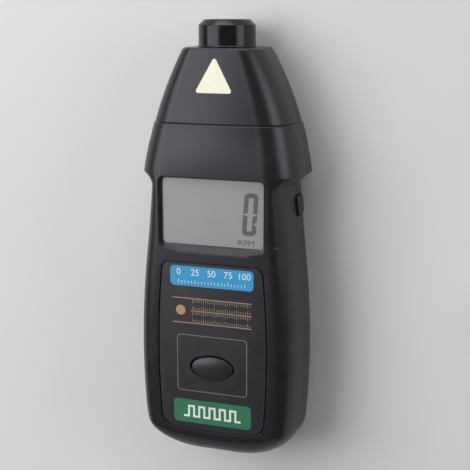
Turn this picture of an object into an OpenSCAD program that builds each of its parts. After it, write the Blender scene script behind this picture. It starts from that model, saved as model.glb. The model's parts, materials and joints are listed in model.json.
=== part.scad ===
// Hand-held laser tachometer: a two-shell moulded housing with a tapered optical head,
// lying on its back. +X is right, +Y points out of the optical nozzle, +Z out of the display face.
// Inside the modules, y is measured from the bottom end and z from the flat of the back.

/* [Housing] */
// Overall length, bottom end to nozzle tip
total_l = 190; // [180:1:205]
// Height of the flat display face above the back
front_h = 37; // [36:0.5:40]
// Height of the parting plane and of the optical axis above the back
parting_z = 17; // [16.5:0.5:18]
// Wall thickness of both shells
wall = 2.2; // [1.8:0.1:2.4]
// Half width at the widest place of the lower body
bulge_half = 35.6; // [34.5:0.1:38]
// Distance of the widest place from the bottom end
bulge_y = 47; // [42:1:54]
// Clearance beside the display frame at the waist
waist_gap = 2; // [1.5:0.1:2.5]
// Width of the flat front face outside the display bevel and the label
face_margin = 0.4; // [0.2:0.1:0.8]
// Width of the rounding from the front face to the sides
fillet_w = 10.2; // [8:0.1:11]
// Depth of that rounding on the lower body
fillet_d = 11; // [9:0.1:13]
// Length of the rounded corner at the bottom end
corner_l = 15; // [13:1:18]
// Width of the rounded corner at the bottom end
corner_w = 24; // [21:1:27]
// Length of the front rounding at the bottom end
end_round_l = 11.5; // [9:0.5:13]
// Radius of the rear edge all round
rear_round = 9; // [7:0.5:9.5]
// Bevel on the parting edges of the two shells
edge_bevel = 0.25; // [0.15:0.05:0.4]

/* [Head] */
// Length of the head, shoulder to the flat nose
head_l = 52.7; // [48:0.1:56]
// Half width at the shoulder
shoulder_half = 35.4; // [35:0.1:38]
// Length of the ledge under the shoulder
ledge_l = 5; // [3:0.5:6]
// Radius of the head's sides in plan
head_r = 146; // [138:1:160]
// Lean of the head's sides at the shoulder, degrees
head_lean = 7.4; // [6.5:0.1:8.5]
// Rise of the head's front face over the display face at the shoulder
head_rise = 0.7; // [0.3:0.1:1]
// Clearance between the nozzle flange and the inside of the nose
nose_gap = 0.24; // [0.2:0.01:0.6]
// Edge radius round the flat nose
nose_round = 1; // [0.8:0.1:1.6]
// Distance of the moulded seam from the nose
seam_back = 31.2; // [27:0.1:33]
// Width of the moulded seam groove
seam_w = 0.8; // [0.6:0.1:1]
// Depth of the moulded seam groove
seam_d = 0.5; // [0.3:0.05:0.6]
// Step of the nose inside the shoulder at the seam
seam_step = 0.3; // [0.1:0.05:0.35]

/* [Optics] */
// Length of the nozzle outside the nose
nozzle_l = 11.4; // [9:0.1:13]
// Radius of the nozzle barrel
nozzle_r = 12.1; // [12:0.05:12.4]
// Length of the bevel at the nozzle tip
nozzle_bevel = 2.3; // [1.6:0.1:2.6]
// Radius of the opening in the nozzle tip
aperture_r = 8.6; // [8:0.1:9]
// Depth of the lens seat behind the tip
lens_depth = 3.6; // [3:0.1:3.8]
// Radius of the lens
lens_r = 10; // [9.6:0.05:10.2]
// Thickness of the lens at its edge
lens_edge = 1.6; // [1.2:0.1:2]
// Bulge of the lens
lens_sag = 2.2; // [1.5:0.1:2.5]
// Length of the nozzle barrel inside the housing
nozzle_tail = 19; // [18:0.5:21]
// Radius of the laser module
laser_r = 3.2; // [2.8:0.1:3.4]
// Length of the laser module
laser_l = 12; // [10:0.5:14]

/* [Display] */
// Width of the display opening
lcd_w = 45.6; // [43:0.1:46]
// Height of the display opening
lcd_l = 28.4; // [27:0.1:29]
// Distance of the display opening below the shoulder
lcd_drop = 1.1; // [0.8:0.1:2]
// Width of the bevel round the display opening
lcd_bevel = 1.5; // [1:0.1:1.6]
// Bow of the bevel's lower edge
lcd_bow = 1.6; // [1:0.1:2]
// Thickness of the clear window
window_t = 1.5; // [1.2:0.1:1.6]
// Thickness of the display glass
cell_t = 2.8; // [2.2:0.1:3]

/* [Label and keys] */
// Width of the label
label_w = 47.4; // [45:0.1:48]
// Distance of the label's top edge below the display opening
label_drop = 7.7; // [6.5:0.1:8.5]
// Distance of the label's lower edge from the bottom end
label_y0 = 12.9; // [12:0.1:16]
// Thickness of the label
label_t = 0.25; // [0.15:0.05:0.4]
// Distance of the oval key's centre from the bottom end
key_y = 42.7; // [41:0.1:52]
// Width of the oval key's opening
key_w = 20.1; // [18:0.1:21]
// Height of the oval key's opening
key_l = 10.9; // [10:0.1:12]
// Travel of the oval key
key_travel = 0.7; // [0.4:0.1:0.8]
// Gap round both keys
key_gap = 0.5; // [0.4:0.05:0.6]
// Distance of the side key's centre below the shoulder
side_key_drop = 13.7; // [13:0.1:15]
// Length of the side key
side_key_l = 8.1; // [7:0.1:9]
// Height of the side key's lower edge above the back
side_key_z = 8.4; // [8.2:0.1:9]
// Height of the side key
side_key_h = 7.4; // [6.5:0.1:7.6]
// Distance that the side key stands out of the wall
side_key_proud = 1.1; // [0.8:0.1:1.5]
// Travel of the side key
side_key_travel = 0.9; // [0.6:0.1:1]

/* [Inside] */
// Thickness of the circuit board
board_t = 1.6; // [1.2:0.1:1.8]
// Depth of the circuit board's face below the display face
board_drop = 10.3; // [10:0.1:10.8]
// Width of the battery
battery_w = 26.5; // [25:0.1:26.8]
// Length of the battery body
battery_l = 46.4; // [45:0.1:47]
// Thickness of the battery
battery_t = 17.5; // [16:0.1:17.6]
// Distance of the battery from the bottom end
battery_y = 11.5; // [11:0.1:13]
// Length of the battery door
door_l = 66; // [64:0.5:70]
// Half width of the battery door
door_half = 17.5; // [16.5:0.1:18]
// Thickness of the battery door
door_t = 2.4; // [2:0.1:2.6]
// Width and thickness of the door's sliding edge
door_edge = 1; // [0.8:0.1:1.2]
// Running gap round the door and other fitted pieces
gap = 0.3; // [0.2:0.05:0.35]
// Radius of the case screws
case_screw_r = 1.3; // [1.1:0.05:1.4]
// Radius of the board screws
board_screw_r = 1; // [0.8:0.05:1.1]

/* [Hidden] */
$fn = 48;

fit = 0.1;
cut = 1;

// Places along the length
head_end = total_l - nozzle_l;
shoulder_y = head_end - head_l;
waist_y = shoulder_y - ledge_l;
taper_l = 35;
taper_y = bulge_y + taper_l;
seam_y = head_end - seam_back;
lift_back = 11;
lift_y = shoulder_y + lift_back;
break_l = 8;
break_y = shoulder_y - break_l / 2;
head_cx = shoulder_half - head_r * cos(head_lean);
head_cy = shoulder_y - head_r * sin(head_lean);

// Optics along the axis
lens_y = total_l - lens_depth;
lens_seat_r = lens_r + 0.2;
retainer_l = 2;
nozzle_neck_r = nozzle_r - 0.45;
collar_r = nozzle_r + 0.3;
collar_l = 0.8;
collar_edge = 0.3;
flange_r = nozzle_neck_r + 1;
flange_l = 2;
nozzle_hole_r = nozzle_neck_r + 0.2;
flange_y = head_end - wall - 0.2 - flange_l;
tail_y = head_end - nozzle_tail;
saddle_l = 2;
saddle_h = 8;
saddle_y = flange_y - saddle_l - 0.2;
sensor_board_t = 1.6;
sensor_board_r = nozzle_neck_r - 0.3;
divider_t = 1.2;
laser_x = -(divider_t / 2 + laser_r + 0.8);
laser_mouth = 1.5;
sensor_r = 2.5;
sensor_l = 6;
sensor_x = divider_t / 2 + sensor_r + 1.9;

// Display stack, from the face inwards
lcd_y1 = shoulder_y - lcd_drop;
lcd_y0 = lcd_y1 - lcd_l;
lcd_yc = (lcd_y0 + lcd_y1) / 2;
lcd_corner = 1.8;
lcd_bevel_d = 1;
window_lap = 2;
window_top = front_h - 1.6;
window_z = window_top - window_t;
cell_z = window_z - 0.2 - cell_t;
cell_w = lcd_w + 3.5;
cell_l = lcd_l + 7.7;
frame_t = 1.35;
frame_z1 = cell_z + cell_t - 0.5;
strip_w = 2.4;

// Widths that the display and the label set, and the roundings of the section
label_half = label_w / 2;
face_half = max(lcd_w / 2 + lcd_bevel, label_half + 0.6) + face_margin;
waist_half = max(cell_w / 2 + fit + frame_t, face_half) + wall + waist_gap;
side_bend = (bulge_half - waist_half) / (taper_l * (taper_l / 2 + waist_y - taper_y));
nose_h = flange_r + wall + nose_gap;
nose_lift = parting_z - nose_h;
head_slope = (front_h + head_rise - parting_z - nose_h) / head_l;
end_land = 2;
end_fillet_d = front_h - parting_z - end_land;
end_ease_l = 2 * end_round_l;
head_fillet_w = 11.8;
head_fillet_d = 16;
nose_fillet_w = 7.5;
nose_fillet_d = 11.6;
rear_end_l = rear_round + 1;
fillet_steps = 7;
end_flat = 0.05;

// Label outline and key sizes
label_y1 = lcd_y0 - label_drop;
label_bow = 1.8;
label_corner = 5;
label_top_corner = 4;
label_floor = front_h - label_t - 0.05;
key_cap_w = key_w - 2 * key_gap;
key_cap_l = key_l - 2 * key_gap;
key_rise = 0.9;
key_dome_r = 72;
key_flange = 1.4;
key_flange_t = 1.5;
key_flange_z1 = front_h - wall - gap;
key_flange_z0 = key_flange_z1 - key_flange_t;
key_post_r = 2.5;

// Circuit board and what stands on it
board_top = front_h - board_drop;
board_z = board_top - board_t;
board_y0 = 28;
board_half = face_half - 1.4;
board_wide = cell_w / 2 + 1.3;
board_step_y = lcd_yc - cell_l / 2 - 4;
board_wide_y1 = lcd_yc + cell_l / 2 + 2.3;
board_tongue = 11;
ribbon_t = 0.4;
ribbon_half = 5;
ribbon_l = 9;
ribbon_foot = 2;
ribbon_low = 2;
ribbon_high = 4;
ribbon_y1 = tail_y - sensor_board_t;
ribbon_y0 = ribbon_y1 - ribbon_l;
board_y1 = ribbon_y0 + 2.5;
switch_w = 6;
switch_h = 3.5;
switch_top = board_top + switch_h;
stem_r = 1.75;
stem_gap = 0.3;
stem_out = 1.2;

// Side key and its switch
side_key_y = shoulder_y - side_key_drop;
side_wall_x = lower_half(side_key_y);
side_slot_l = side_key_l + 2 * key_gap;
side_flange_t = 1.2;
side_flange_lap = 1.4;
side_flange_drop = 1;
side_flange_x1 = lower_half(side_key_y + side_key_l / 2 + side_flange_lap) - wall - 1.5 * gap;
side_flange_x0 = side_flange_x1 - side_flange_t;
side_key_soft = 0.6;
side_switch_h = 6.5;
side_switch_l = 6;
side_switch_w = 7;
side_switch_x1 = side_flange_x0 - 2;
side_stem_z = board_z - side_switch_h / 2;
side_stem_r = 1.5;
side_arm_z1 = side_stem_z + side_stem_r + 0.5;

// Battery bay and door
door_edge_half = door_half + 1.9;
door_top = door_t + door_edge;
grip_half = 9;
grip_y = 14;
grip_pitch = 3;
grip_w = 1.2;
grip_d = 0.5;
rail_z0 = door_top + gap;
rail_t = 1.5;
rail_y0 = battery_y - gap - rail_t / 2;
bay_half = battery_w / 2 + gap;
rail_half = door_edge_half + 2;
bay_wall_t = 1.6;
bay_y1 = door_l + 2;
stop_h = 9;
battery_z = door_top + gap;
battery_zc = battery_z + battery_t / 2;
battery_corner = 1.8;
terminal_l = 2.2;
terminal_x = 6.35;
terminal_r = [2.9, 3.8];
snap_t = 4;
snap_h = 12.5;
snap_corner = 3;
snap_y = battery_y + battery_l + gap;
lead_r = 0.7;
lead_x = 9;

// Components on the back of the board, between the battery bay and the display
chip_w = 14;
chip_t = 2;
chip_y = board_step_y - chip_w / 2 - 0.75;
crystal_w = 4.6;
crystal_l = 11;
crystal_h = 3.5;
crystal_at = [-13, bay_y1 + crystal_l / 2 + 1.5];
capacitor_r = 3;
capacitor_h = 7;
capacitor_at = [14, bay_y1 + capacitor_r + 1.5];

// Screws and their posts
case_post_r = 4.2;
case_front_r = 3.2;
case_head_r = 2.7;
case_head_l = 2;
case_head_z = 9;
case_screw_l = 16;
case_pilot_l = 10;
case_post_in = 4.9;
case_post_up = 9;
case_post_y = 24;
case_low_in = 2.5;
case_wall_x = lower_half(case_post_y) - wall - case_post_r - case_low_in;
case_low = [max(rail_half + case_post_r + 4 * fit, case_wall_x), case_post_y];
case_high = [shoulder_half - wall - case_post_r - case_post_in, shoulder_y + case_post_up];
case_posts_at = [for (at = [case_low, case_high], side = [-1, 1]) [side * at[0], at[1]]];
drive_w = 0.7;
drive_l = 2.8;
drive_d = 0.9;
board_post_r = 2.4;
board_head_r = 2;
board_head_l = 1.4;
board_pilot_l = 6;
board_post_in = 3;
board_post_up = 8;
board_post_drop = 10;
board_posts_at = [
  for (side = [-1, 1], y = [board_y0 + board_post_up, label_y1 - board_post_drop])
    [side * (board_half - board_post_in), y]
];

// Pointer on the head
mark_back = 18.3;
mark_y0 = head_end - mark_back;
mark_l = 14.7;
mark_half = 8;
mark_t = 0.15;
mark_round = 0.8;

// Curves
function lerp(a, b, t) = a + (b - a) * t;
function unit(t) = max(0, min(1, t));
function smooth(t) = let (u = unit(t)) u * u * (3 - 2 * u);
function quarter(t) = let (u = 1 - unit(t)) sqrt(1 - u * u);

// Half width in plan: a long arc that runs out straight to the waist, the ledge, then the head's arc
function lower_half(y) =
  bulge_half - side_bend * (pow(min(y, taper_y) - bulge_y, 2) / 2 + taper_l * max(0, y - taper_y));
function head_half(y) = head_cx + sqrt(pow(head_r, 2) - pow(y - head_cy, 2));
function ledge_part(y) = pow(unit((y - waist_y) / ledge_l), 1.6);
function nose_cut(y) = nose_round * (1 - quarter((head_end - y) / nose_round));
function seam_cut(y) = abs(y - seam_y) < seam_w / 4 ? seam_d : y > seam_y ? seam_step : 0;
function plan_half(y) =
  lerp(lower_half(y), head_half(max(y, waist_y)), ledge_part(y)) - nose_cut(y) - seam_cut(y);

// The plan drawn in by ex at the sides and ey at the bottom end, with its rounded lower corners
function inset_half(y, ex, ey) =
  plan_half(y) - ex - (corner_w - ex) * (1 - quarter((y - ey) / (corner_l - ey)));

// Side profile: flat face and back, tilted head, lifted nose
function head_front(y) = front_h + head_rise - head_slope * (y - shoulder_y);
function front_z(y) =
  lerp(front_h, head_front(y), smooth((y - break_y) / break_l)) - nose_cut(y) - seam_cut(y);
function back_z(y) =
  nose_lift * pow(unit((y - lift_y) / (head_end - lift_y)), 2) + nose_cut(y) + seam_cut(y);

// Front rounding, across and down: full on the lower body, tight at the waist, full on the head
function head_part(y) = pow(unit((y - shoulder_y) / head_l), 2);
function front_a(y) =
  lerp(
    min(fillet_w, lower_half(max(y, corner_l)) - face_half),
    lerp(head_fillet_w, nose_fillet_w, head_part(y)),
    ledge_part(y)
  );
function front_b(y) =
  let (
    low = lerp(end_fillet_d, fillet_d, smooth(y / end_ease_l)),
    high = lerp(low, head_fillet_d, smooth((y - taper_y) / (shoulder_y - taper_y)))
  )
    lerp(high, nose_fillet_d, head_part(y));

// One side of the section at y, a wall w inside the skin: from the parting plane z0, with a bevel e,
// over a rounding a by b that is end_l long at the bottom end, to the face z1
function side(y, z0, z1, a, b, end_l, w, e) =
  let (
    up = sign(z1 - z0),
    ai = max(1, a - w),
    bi = max(1, b - w),
    li = end_l - w,
    yi = max(y, w + end_flat),
    top = yi - w < li ? acos(1 - (yi - w) / li) : 90,
    h = inset_half(yi, w, w)
  )
    concat(
      e > 0 ? [[h - e, z0]] : [],
      [[h, z0 + up * e]],
      [
        for (i = [0:fillet_steps])
          let (t = top * i / fillet_steps)
            [
              inset_half(yi, w + ai * (1 - cos(t)), w + li * (1 - cos(t))),
              z1 - up * (w + bi * (1 - sin(t)))
            ]
      ]
    );
function ring(y, half) =
  let (n = len(half))
    concat(
      [for (p = half) [p[0], y, p[1]]],
      [for (i = [n - 1:-1:0]) [-half[i][0], y, half[i][1]]]
    );
function turned(list) = [for (i = [len(list) - 1:-1:0]) list[i]];
function front_ring(y, w = 0) =
  let (z0 = parting_z - (w > 0 ? cut : 0), e = w > 0 ? 0 : edge_bevel)
    ring(y, side(y, z0, front_z(y), front_a(y), front_b(y), end_round_l, w, e));
function rear_ring(y, w = 0) =
  let (z0 = parting_z + (w > 0 ? cut : 0), e = w > 0 ? 0 : edge_bevel)
    turned(ring(y, side(y, z0, back_z(y), rear_round, rear_round, rear_end_l, w, e)));

// Stations: closer where the outline turns
function spread(y0, y1, n) = [for (i = [1:n]) lerp(y0, y1, i / n)];
corner_steps = 13;
corner_stations = [for (i = [2:corner_steps]) corner_l * (1 - cos(90 * i / corner_steps))];
seam_stations = [
  seam_y - seam_w / 2, seam_y - seam_w / 5, seam_y + seam_w / 5, seam_y + seam_w / 2
];
stations = concat(
  [0],
  corner_stations,
  spread(corner_l, taper_y, 8),
  spread(taper_y, waist_y, 4),
  spread(waist_y, shoulder_y, 5),
  spread(shoulder_y, break_y + break_l, 2),
  spread(break_y + break_l, seam_y - seam_w, 3),
  seam_stations,
  spread(seam_y + seam_w / 2, head_end - nose_round, 6),
  [for (i = [1:3]) head_end - nose_round * (1 - sin(30 * i))]
);
hollow_stations = concat(
  [wall],
  [for (i = [2:7]) wall + corner_l * (1 - cos(90 * i / 7))],
  spread(wall + corner_l, taper_y, 4),
  spread(taper_y, waist_y, 3),
  spread(waist_y, shoulder_y + wall, 3),
  [seam_y - 2 * seam_w, seam_y + 2 * seam_w],
  spread(seam_y + 2 * seam_w, head_end - wall, 3)
);

// Skin over a list of equal rings, closed at both ends
module loft(rings) {
  n = len(rings[0]);
  m = len(rings);
  polyhedron(
    points = [for (r = rings) each r],
    faces = concat(
      [turned([for (j = [0:n - 1]) j])],
      [for (i = [0:m - 2], j = [0:n - 1]) [i * n + j, i * n + (j + 1) % n, (i + 1) * n + (j + 1) % n]],
      [for (i = [0:m - 2], j = [0:n - 1]) [i * n + j, (i + 1) * n + (j + 1) % n, (i + 1) * n + j]],
      [[for (j = [0:n - 1]) (m - 1) * n + j]]
    )
  );
}

// Outlines
function oval(w, l, n = 40) = [for (i = [0:n - 1]) [w / 2 * cos(360 * i / n), l / 2 * sin(360 * i / n)]];
function rounded(w, l, r, n = 4) =
  [
    for (c = [[1, 1, 0], [-1, 1, 90], [-1, -1, 180], [1, -1, 270]], i = [0:n])
      [c[0] * (w / 2 - r) + r * cos(c[2] + 90 * i / n), c[1] * (l / 2 - r) + r * sin(c[2] + 90 * i / n)]
  ];

// Label of half width h: bowed lower edge with rounded corners, straight sides, rounded top corners
function label_edge(x, h) =
  label_y0 + label_half - h + label_bow * pow(x / h, 2)
  + label_corner * (1 - quarter((h - abs(x)) / label_corner));
label_steps = 24;
function label_outline(h) =
  concat(
    [for (i = [0:label_steps]) let (x = -h * cos(180 * i / label_steps)) [x, label_edge(x, h)]],
    [
      for (c = [[1, 0], [-1, 90]], i = [0:4])
        [
          c[0] * (h - label_top_corner) + label_top_corner * cos(c[1] + 90 * i / 4),
          label_y1 - label_half + h - label_top_corner + label_top_corner * sin(c[1] + 90 * i / 4)
        ]
    ]
  );
bevel_half = lcd_w / 2 + lcd_bevel;
bevel_outline = concat(
  [
    for (i = [0:12])
      let (x = lerp(-bevel_half, bevel_half, i / 12))
        [x, lcd_y0 - lcd_bevel - lcd_bow * (1 - pow(x / bevel_half, 2))]
  ],
  [[bevel_half, lcd_y1 + lcd_bevel / 2], [-bevel_half, lcd_y1 + lcd_bevel / 2]]
);

module placed() translate([0, -total_l / 2, 0]) children();
module slab(z0, z1) translate([0, 0, z0]) linear_extrude(z1 - z0) children();
module rod(at, r, z0, z1) translate([at[0], at[1], z0]) cylinder(r = r, h = z1 - z0);
module axial(r, y0, y1, x = 0)
  translate([x, y0, parting_z]) rotate([-90, 0, 0]) cylinder(r = r, h = y1 - y0);
module lying(r, at, x0, x1) translate([x0, at[0], at[1]]) rotate([0, 90, 0]) cylinder(r = r, h = x1 - x0);
module block(x0, x1, y0, y1, z0, z1) translate([x0, y0, z0]) cube([x1 - x0, y1 - y0, z1 - z0]);

// Ears that hold the nozzle behind its flange, z0 to z1
module saddle(z0, z1) {
  reach = plan_half(saddle_y) - wall / 2 - 0.6;
  difference() {
    block(-reach, reach, saddle_y, saddle_y + saddle_l, z0, z1);
    axial(nozzle_hole_r, saddle_y - cut, saddle_y + saddle_l + cut);
  }
}

module lcd_opening() {
  translate([0, lcd_yc]) {
    slab(window_top - cut, front_h + cut) polygon(rounded(lcd_w, lcd_l, lcd_corner));
    slab(window_top - 2 * wall, window_top)
      polygon(rounded(lcd_w + 2 * window_lap + 2 * gap, lcd_l + 2 * window_lap + 2 * gap, 1));
  }
  hull() {
    slab(front_h - lcd_bevel_d, front_h) translate([0, lcd_yc]) polygon(rounded(lcd_w, lcd_l, lcd_corner));
    slab(front_h + head_rise - fit, front_h + head_rise) polygon(bevel_outline);
  }
}

module front_shell() {
  color("#2b2b2e") placed() difference() {
    union() {
      difference() {
        loft([for (y = stations) front_ring(y)]);
        loft([for (y = hollow_stations) front_ring(y, wall)]);
      }
      for (at = case_posts_at) rod(at, case_front_r, parting_z, front_z(at[1]) - wall - 0.6);
      for (at = board_posts_at) rod(at, board_post_r, board_top, front_h - wall / 2);
      saddle(parting_z, parting_z + saddle_h);
    }
    lcd_opening();
    slab(label_floor, front_h + cut) polygon(label_outline(label_half));
    translate([0, key_y]) slab(front_h - wall - cut, front_h + cut) polygon(oval(key_w, key_l));
    axial(nozzle_hole_r, head_end - wall - cut, head_end + cut);
    for (at = case_posts_at) rod(at, case_screw_r + fit, parting_z - cut, parting_z + case_pilot_l);
    for (at = board_posts_at) rod(at, board_screw_r + fit, board_top - cut, board_top + board_pilot_l);
  }
}

// Guide for the door's edge, with the side wall of the battery bay on it
module battery_rail() {
  foot_x = door_edge_half + gap;
  block(foot_x, rail_half, rail_y0, bay_y1, wall - 0.4, rail_z0 + rail_t);
  block(bay_half, rail_half, rail_y0, bay_y1, rail_z0, rail_z0 + rail_t);
  block(bay_half, bay_half + bay_wall_t, rail_y0, bay_y1, rail_z0, parting_z - 1);
}

module rear_shell() {
  color("#252528") placed() difference() {
    union() {
      difference() {
        loft([for (y = stations) rear_ring(y)]);
        loft([for (y = hollow_stations) rear_ring(y, wall)]);
      }
      for (at = case_posts_at) rod(at, case_post_r, back_z(at[1]) + wall / 2, parting_z);
      saddle(parting_z - saddle_h, parting_z);
      for (side = [0, 1]) mirror([side, 0, 0]) battery_rail();
      block(-bay_half - fit, bay_half + fit, battery_y - gap - rail_t, battery_y - gap,
        rail_z0, battery_z + stop_h);
    }
    block(-door_half - gap, door_half + gap, -cut, door_l + gap, -cut, rail_z0);
    block(-door_edge_half - gap, door_edge_half + gap, -cut, door_l + gap, door_t - gap, rail_z0);
    axial(nozzle_hole_r, head_end - wall - cut, head_end + cut);
    for (at = case_posts_at) {
      rod(at, case_screw_r + gap, case_head_z - cut, parting_z + cut);
      rod(at, case_head_r + gap, -cut, case_head_z);
    }
    block(
      side_wall_x - 2 * wall, side_wall_x + 2 * wall,
      side_key_y - side_slot_l / 2, side_key_y + side_slot_l / 2,
      side_key_z - key_gap, parting_z + cut
    );
  }
}

module battery_door() {
  color("#29292c") placed() difference() {
    intersection() {
      union() {
        block(-door_half, door_half, 0, door_l, 0, door_top);
        block(-door_edge_half, door_edge_half, 0, door_l, door_t, door_top);
      }
      loft([for (y = stations) rear_ring(y)]);
    }
    for (i = [0:4]) translate([0, grip_y + i * grip_pitch])
      block(-grip_half, grip_half, 0, grip_w, -cut, grip_d);
  }
}

module nozzle() {
  color("#1a1a1c") placed() translate([0, 0, parting_z]) rotate([-90, 0, 0]) rotate_extrude()
    polygon([
      [lens_seat_r, tail_y], [nozzle_neck_r, tail_y],
      [nozzle_neck_r, flange_y], [flange_r, flange_y], [flange_r, flange_y + flange_l],
      [nozzle_neck_r, flange_y + flange_l], [nozzle_neck_r, head_end + 0.05],
      [collar_r, head_end + 0.05], [collar_r, head_end + collar_l - collar_edge],
      [nozzle_r, head_end + collar_l],
      [nozzle_r, total_l - nozzle_bevel], [nozzle_r - nozzle_bevel, total_l],
      [aperture_r, total_l], [aperture_r, lens_y], [lens_seat_r, lens_y]
    ]);
}

module lens() {
  dome_r = (pow(aperture_r, 2) + pow(lens_sag, 2)) / (2 * lens_sag);
  color("#c8d4dc", 0.5) placed() union() {
    axial(lens_r, lens_y - lens_edge, lens_y);
    intersection() {
      axial(aperture_r - fit, lens_y - fit, total_l);
      translate([0, lens_y + lens_sag - dome_r, parting_z]) sphere(r = dome_r);
    }
  }
}

module lens_retainer() {
  color("#151516") placed() difference() {
    axial(lens_r, lens_y - lens_edge - retainer_l, lens_y - lens_edge);
    axial(aperture_r, lens_y - lens_edge - retainer_l - cut, lens_y);
  }
}

module beam_divider() {
  color("#151516") placed() block(
    -divider_t / 2, divider_t / 2, tail_y, lens_y - lens_edge - retainer_l - gap,
    parting_z - lens_r + gap, parting_z + lens_r - gap
  );
}

module laser_module() {
  color("#b08d4a") placed() difference() {
    axial(laser_r, tail_y, tail_y + laser_l, laser_x);
    axial(laser_r / 2, tail_y + laser_l - laser_mouth, tail_y + laser_l + cut, laser_x);
  }
}

module photo_sensor() {
  color("#303036") placed() union() {
    axial(sensor_r, tail_y, tail_y + sensor_l, sensor_x);
    intersection() {
      axial(sensor_r, tail_y + sensor_l - cut, tail_y + 2 * sensor_l, sensor_x);
      translate([sensor_x, tail_y + sensor_l - 0.5, parting_z]) sphere(r = sensor_r - 0.05);
    }
  }
}

module sensor_board() {
  color("#2f6b3c") placed() axial(sensor_board_r, tail_y - sensor_board_t, tail_y);
}

module sensor_ribbon() {
  top = [
    [ribbon_y1, parting_z - ribbon_low], [ribbon_y1, parting_z + ribbon_high],
    [ribbon_y1 - ribbon_foot, board_top + 2 * ribbon_t], [ribbon_y0 + ribbon_foot, board_top + ribbon_t],
    [ribbon_y0, board_top + ribbon_t]
  ];
  under = [
    [ribbon_y0, board_top], [ribbon_y0 + ribbon_foot, board_top],
    [ribbon_y1 - ribbon_foot - ribbon_t, board_top + ribbon_t],
    [ribbon_y1 - ribbon_t, parting_z + ribbon_high - ribbon_t],
    [ribbon_y1 - ribbon_t, parting_z - ribbon_low]
  ];
  color("#d9d6cc") placed() translate([ribbon_half, 0, 0]) rotate([90, 0, -90])
    linear_extrude(2 * ribbon_half) polygon([for (p = concat(top, under)) [-p[0], p[1]]]);
}

module main_board() {
  right = [
    [board_half, board_y0], [board_half, board_step_y], [board_wide, board_step_y],
    [board_wide, board_wide_y1], [board_tongue, board_wide_y1], [board_tongue, board_y1]
  ];
  color("#1f5a34") placed() difference() {
    slab(board_z, board_top) polygon(concat(right, turned([for (p = right) [-p[0], p[1]]])));
    for (at = board_posts_at) rod(at, board_screw_r + fit, board_z - cut, board_top + cut);
  }
}

module controller_chip() {
  color("#1c1c1f") placed() translate([0, chip_y]) slab(board_z - chip_t, board_z)
    polygon(rounded(chip_w, chip_w, 0.6));
}

module quartz_crystal() {
  color("#c9c9cc") placed() translate(crystal_at) slab(board_z - crystal_h, board_z)
    polygon(rounded(crystal_w, crystal_l, crystal_w / 2 - fit));
}

module capacitor() {
  color("#3a4a8c") placed() rod(capacitor_at, capacitor_r, board_z - capacitor_h, board_z);
}

module lcd_window() {
  color("#c9cfce", 0.4) placed() translate([0, lcd_yc]) slab(window_z, window_top)
    polygon(rounded(lcd_w + 2 * window_lap, lcd_l + 2 * window_lap, 0.9));
}

module lcd_cell() {
  color("#8f9190") placed() block(
    -cell_w / 2, cell_w / 2, lcd_yc - cell_l / 2, lcd_yc + cell_l / 2, cell_z, cell_z + cell_t
  );
}

module lcd_frame() {
  inner_w = cell_w + 2 * fit;
  inner_l = cell_l + 2 * fit;
  color("#dedcd2") placed() translate([0, lcd_yc]) difference() {
    slab(board_top, frame_z1) polygon(rounded(inner_w + 2 * frame_t, inner_l + 2 * frame_t, 1));
    slab(board_top - cut, frame_z1 + cut) polygon(rounded(inner_w, inner_l, 0.05));
  }
}

module contact_strips() {
  color("#4a4a4c") placed() for (s = [-1, 1])
    translate([0, lcd_yc + s * (cell_l / 2 - strip_w / 2 - 0.4)])
      block(-cell_w / 2 + 1, cell_w / 2 - 1, -strip_w / 2, strip_w / 2, board_top, cell_z);
}

module memory_button() {
  color("#2e2e31") placed() translate([0, key_y]) union() {
    intersection() {
      slab(key_flange_z1, front_h + key_rise + cut) polygon(oval(key_cap_w, key_cap_l));
      translate([0, 0, front_h + key_rise - key_dome_r]) sphere(r = key_dome_r, $fn = 200);
    }
    slab(key_flange_z0, key_flange_z1) polygon(oval(key_w + 2 * key_flange, key_l + 2 * key_flange));
    rod([0, 0], key_post_r, switch_top + stem_out, key_flange_z0);
  }
}

module memory_switch() {
  color("#3c3c40") placed() translate([0, key_y]) difference() {
    slab(board_top, switch_top) polygon(rounded(switch_w, switch_w, 0.5));
    rod([0, 0], stem_r + stem_gap, switch_top - stem_out - key_travel - gap, switch_top + cut);
  }
}

module memory_switch_stem() {
  color("#7a2f2a") placed() rod([0, key_y], stem_r, switch_top - stem_out, switch_top + stem_out);
}

module test_button() {
  y0 = side_key_y - side_key_l / 2;
  y1 = side_key_y + side_key_l / 2;
  z1 = side_key_z + side_key_h;
  face = [
    for (i = [0:8]) let (y = lerp(y0, y1, i / 8))
      [lower_half(y) + side_key_proud - side_key_soft * pow(i / 4 - 1, 4), y]
  ];
  color("#303033") placed() union() {
    slab(side_key_z, z1) polygon(concat([[side_flange_x0, y1], [side_flange_x0, y0]], face));
    block(
      side_flange_x0, side_flange_x1, y0 - side_flange_lap, y1 + side_flange_lap,
      side_key_z - key_gap - side_flange_drop, side_arm_z1
    );
  }
}

module test_switch() {
  color("#3c3c40") placed() difference() {
    block(
      side_switch_x1 - side_switch_l, side_switch_x1, side_key_y - side_switch_w / 2,
      side_key_y + side_switch_w / 2, board_z - side_switch_h, board_z
    );
    lying(
      side_stem_r + stem_gap, [side_key_y, side_stem_z],
      side_switch_x1 - stem_out - side_key_travel - gap, side_switch_x1 + cut
    );
  }
}

module test_switch_stem() {
  color("#7a2f2a") placed() lying(
    side_stem_r, [side_key_y, side_stem_z], side_switch_x1 - stem_out, side_flange_x0
  );
}

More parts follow.
